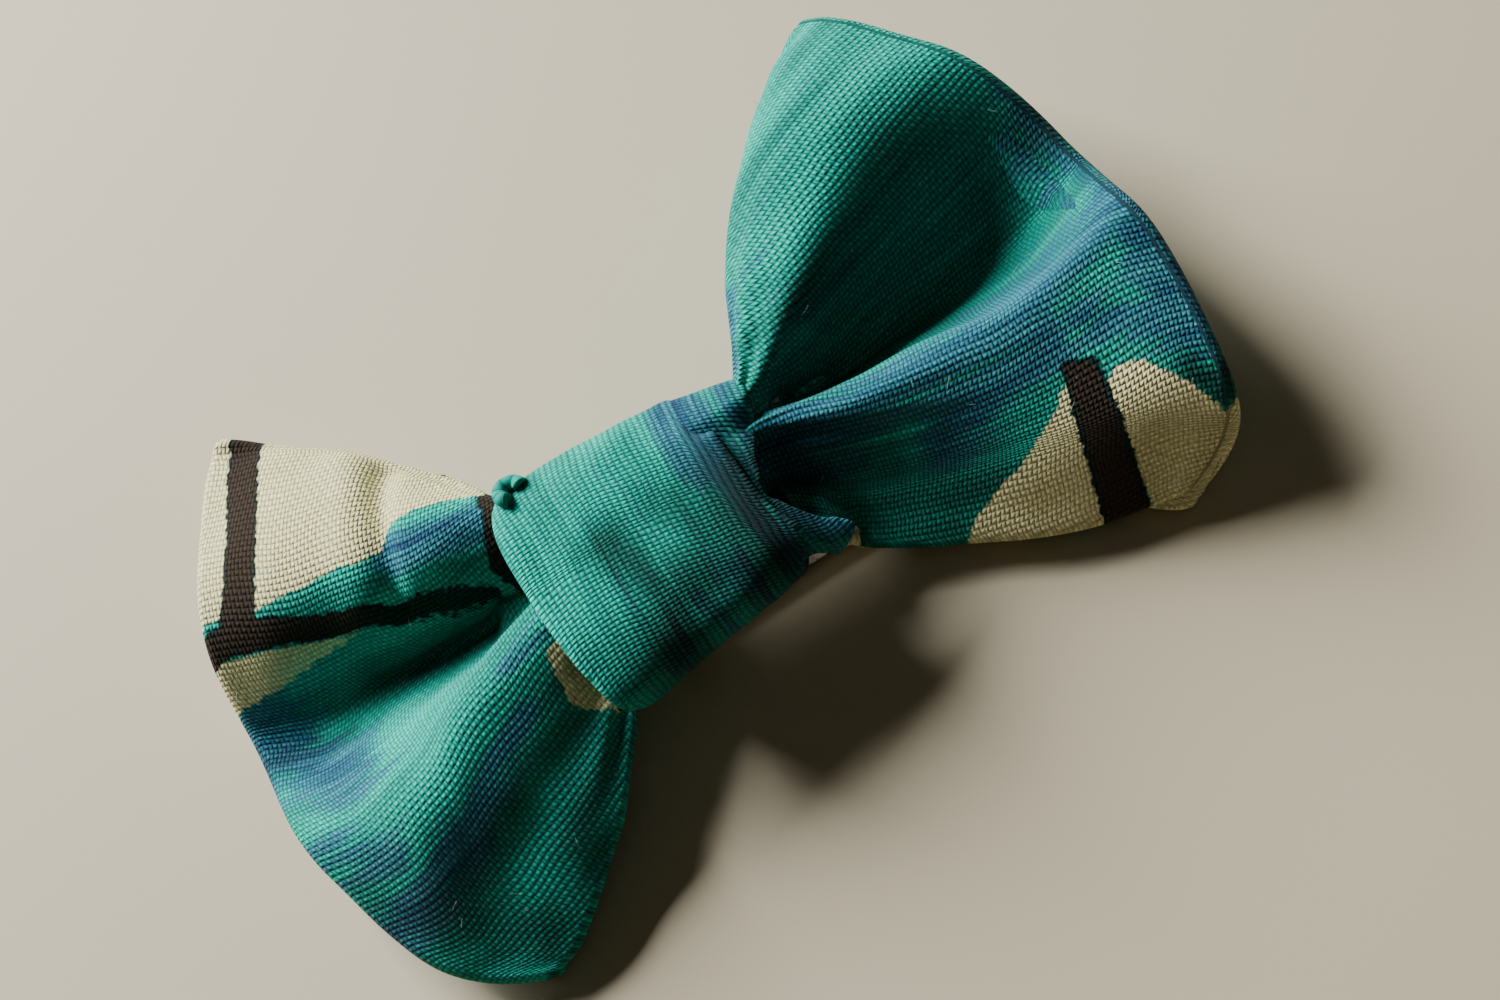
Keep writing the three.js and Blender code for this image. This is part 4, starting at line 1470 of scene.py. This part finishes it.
@dataclass
class LooseFibres:
    """Short cotton fibres that stand up from the cloth, most of them on its crests and edges."""

    count: int = 150
    radius_mm: float = 0.014
    seed: int = 5

    def build(self, face: np.ndarray, normal: np.ndarray) -> Object:
        """Grows the fibres.

        Args:
            face: the cloth's outer face in millimetres.
            normal: unit vectors into the cloth.

        Returns:
            One object with every fibre.
        """
        random = np.random.default_rng(self.seed)
        paths = []
        t = np.linspace(0, 1, 7)[:, None]
        while len(paths) < self.count:
            row, column = random.integers(face.shape[0]), random.integers(face.shape[1])
            root, out = face[row, column], -normal[row, column]
            if abs(root[0]) < 15 or root[2] < 3:
                continue
            lean = unit(random.normal(size=3) - 0.2 * out)
            curl = unit(random.normal(size=3))
            length = random.uniform(0.5, 1.5)
            paths.append(root + length * (0.35 * out * t + 0.8 * lean * t * t + 0.35 * curl * t**3))
        return tubes("loose_cotton_fibres", paths, self.radius_mm, 3)


@dataclass
class Clip:
    """The clip sewn to the back of the knot: its torsion spring is wound here, round the hinge pin."""

    pin_x_mm: float
    pin_z_mm: float
    coil_radius_mm: float = 1.3
    wire_mm: float = 0.5
    turns: float = 3.5
    leg_mm: float = 5.5
    width_mm: float = 4.4

    def spring(self) -> Object:
        """The spring: a leg along the lever, the coil round the pin, and a leg under the base plate.

        Returns:
            The spring.
        """
        radius, x, z, half = self.coil_radius_mm, self.pin_x_mm, self.pin_z_mm, self.width_mm / 2
        legs = np.linspace(0, 1, 14)[:, None]
        share = np.linspace(0, 1, 150)
        turn = -math.pi / 2 + 2 * math.pi * self.turns * share
        coil = np.stack([x + radius * np.cos(turn), (2 * share - 1) * half, z + radius * np.sin(turn)], -1)
        low = np.array([x - self.leg_mm, -half, z - radius]) * (1 - legs) + coil[0] * legs
        high = coil[-1] * (1 - legs) + np.array([x - self.leg_mm, half, z + radius]) * legs
        wire = np.concatenate([low[:-1], coil, high[1:]])
        return tubes("clip_torsion_spring", [wire], self.wire_mm / 2, 12)


# ---------- scene ----------


@dataclass(frozen=True)
class Studio:
    """The pale table, the soft light and the camera."""

    azimuth: float = 10.0
    elevation: float = 66.0
    roll: float = 42.0
    distance: float = 0.291
    lens_mm: float = 72.0
    sensor_mm: float = 36.0
    aim: Point = (0.0, 0.0, 0.010)
    aim_shift: tuple[float, float] = (-0.026, -0.016)

    def camera(self) -> None:
        """Places the camera: a close, high, tilted view with the bow running up to the right."""
        a, e, r = (math.radians(v) for v in (self.azimuth, self.elevation, self.roll))
        back = Vector((math.sin(a) * math.cos(e), -math.cos(a) * math.cos(e), math.sin(e)))
        level = Vector((math.cos(a), math.sin(a), 0))
        upright = back.cross(level)
        right = math.cos(r) * level - math.sin(r) * upright
        up = math.sin(r) * level + math.cos(r) * upright
        dx, dy = self.aim_shift
        eye = Vector(self.aim) - self.distance * (-back + dx * right + dy * up)
        data = bpy.data.cameras.new("camera")
        data.lens = self.lens_mm
        data.sensor_width = self.sensor_mm
        data.clip_start = 0.01
        made = bpy.data.objects.new("camera", data)
        made.matrix_world = Matrix.Translation(eye) @ Matrix((right, up, back)).transposed().to_4x4()
        bpy.context.scene.collection.objects.link(made)
        bpy.context.scene.camera = made

    def light(self) -> None:
        """A window-sized soft light from the bow's upper side, and a weak fill."""
        for name, place, size, power in (
            ("window", (-0.36, 0.84, 0.50), 0.55, 33.0),
            ("fill", (0.3, -0.3, 1.0), 0.9, 0.25),
        ):
            data = bpy.data.lights.new(name, "AREA")
            data.size = size
            data.energy = power
            made = bpy.data.objects.new(name, data)
            made.location = place
            made.rotation_euler = (-Vector(place)).to_track_quat("-Z", "Y").to_euler()
            bpy.context.scene.collection.objects.link(made)
        world = bpy.data.worlds.new("room")
        world.use_nodes = True
        world.node_tree.nodes["Background"].inputs[0].default_value = linear("#dccfa8")
        world.node_tree.nodes["Background"].inputs[1].default_value = 0.04
        bpy.context.scene.world = world

    def floor(self) -> None:
        """A wide flat table top."""
        half = 1.5
        corners = np.array([(-half, -half, 0), (half, -half, 0), (half, half, 0), (-half, half, 0)])
        top = mesh_object("table_top", corners, [(0, 1, 2, 3)])
        top.data.materials.append(PaleTable().make())


def dress(piece: Object, material: Material, slot: str, body: str, *nodes: str) -> None:
    """Gives a piece its material and body, and hides the CAD nodes it stands for.

    Args:
        piece: the piece.
        material: its finish.
        slot: the record's material slot; not used.
        body: the body it rides.
        nodes: the CAD nodes it replaces, if any.
    """
    piece.data.materials.append(material)
    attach(piece, body)
    if nodes:
        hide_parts(*nodes)
    LOG.info("%s: %d faces, rides %s", piece.name, len(piece.data.polygons), body)


def main() -> None:
    """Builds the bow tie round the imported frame."""
    logging.basicConfig(level=logging.INFO, format="%(message)s")
    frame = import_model()
    studio = Studio()
    studio.camera()
    studio.light()
    studio.floor()

    cotton = PrintedCotton().make()
    lining = Interlining().make()
    steel = PlatedSteel().make()
    spring_steel = PlatedSteel("hardened_spring_steel", "#a9a8a4", "#6d6a63", 0.3).make()
    thread = SewingThread().make()
    fuzz = SewingThread("loose_cotton_fibre", "#9fc9bd", "#d8e2cf").make()

    cloth = BowCloth()
    strip, interlining = cloth.build()
    dress(strip, cotton, "printed_cotton", "bow", "bow_cloth")
    dress(interlining, lining, "interlining", "bow", "bow_interlining")
    knot = KnotBand()
    band, under, curl = knot.build()
    for piece in (band, under, curl):
        dress(piece, cotton, "knot_cotton", "bow", "knot_band")
    band_lining = knot.lining()
    dress(band_lining, lining, "interlining", "bow", "knot_interlining")

    fibres = LooseFibres().build(cloth.grid["points"], sheet_normals(cloth.grid["points"], True))
    dress(fibres, fuzz, "printed_cotton", "bow")

    sewing = Sewing()
    dress(sewing.closing_stitch(), thread, "thread", "bow", "knot_closing_stitch")
    for name, hole in zip(("clip_tack_nose", "clip_tack_tail"), sewing.tack_holes_mm):
        dress(sewing.tack(name + "_thread", hole), thread, "thread", "bow", name)

    hinge = next(j for j in frame["record"]["behaviour"]["joints"] if j["name"] == "clip_open")["pos_m"]
    clip = Clip(hinge[0] / MM, hinge[2] / MM)
    spring = clip.spring()
    spring.data.materials.append(spring_steel)
    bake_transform(spring)
    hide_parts("clip_spring")

    for name, finish in (
        ("clip_base", steel), ("clip_lever", steel), ("clip_pin", spring_steel),
        ("bow_lap_stitch", thread), ("waist_binding", thread),
    ):
        node = frame["nodes"][name]
        node.data.materials.clear()
        node.data.materials.append(finish)
        LOG.info("%s: kept, finished in %s", name, finish.name)


if __name__ == "__main__":
    main()
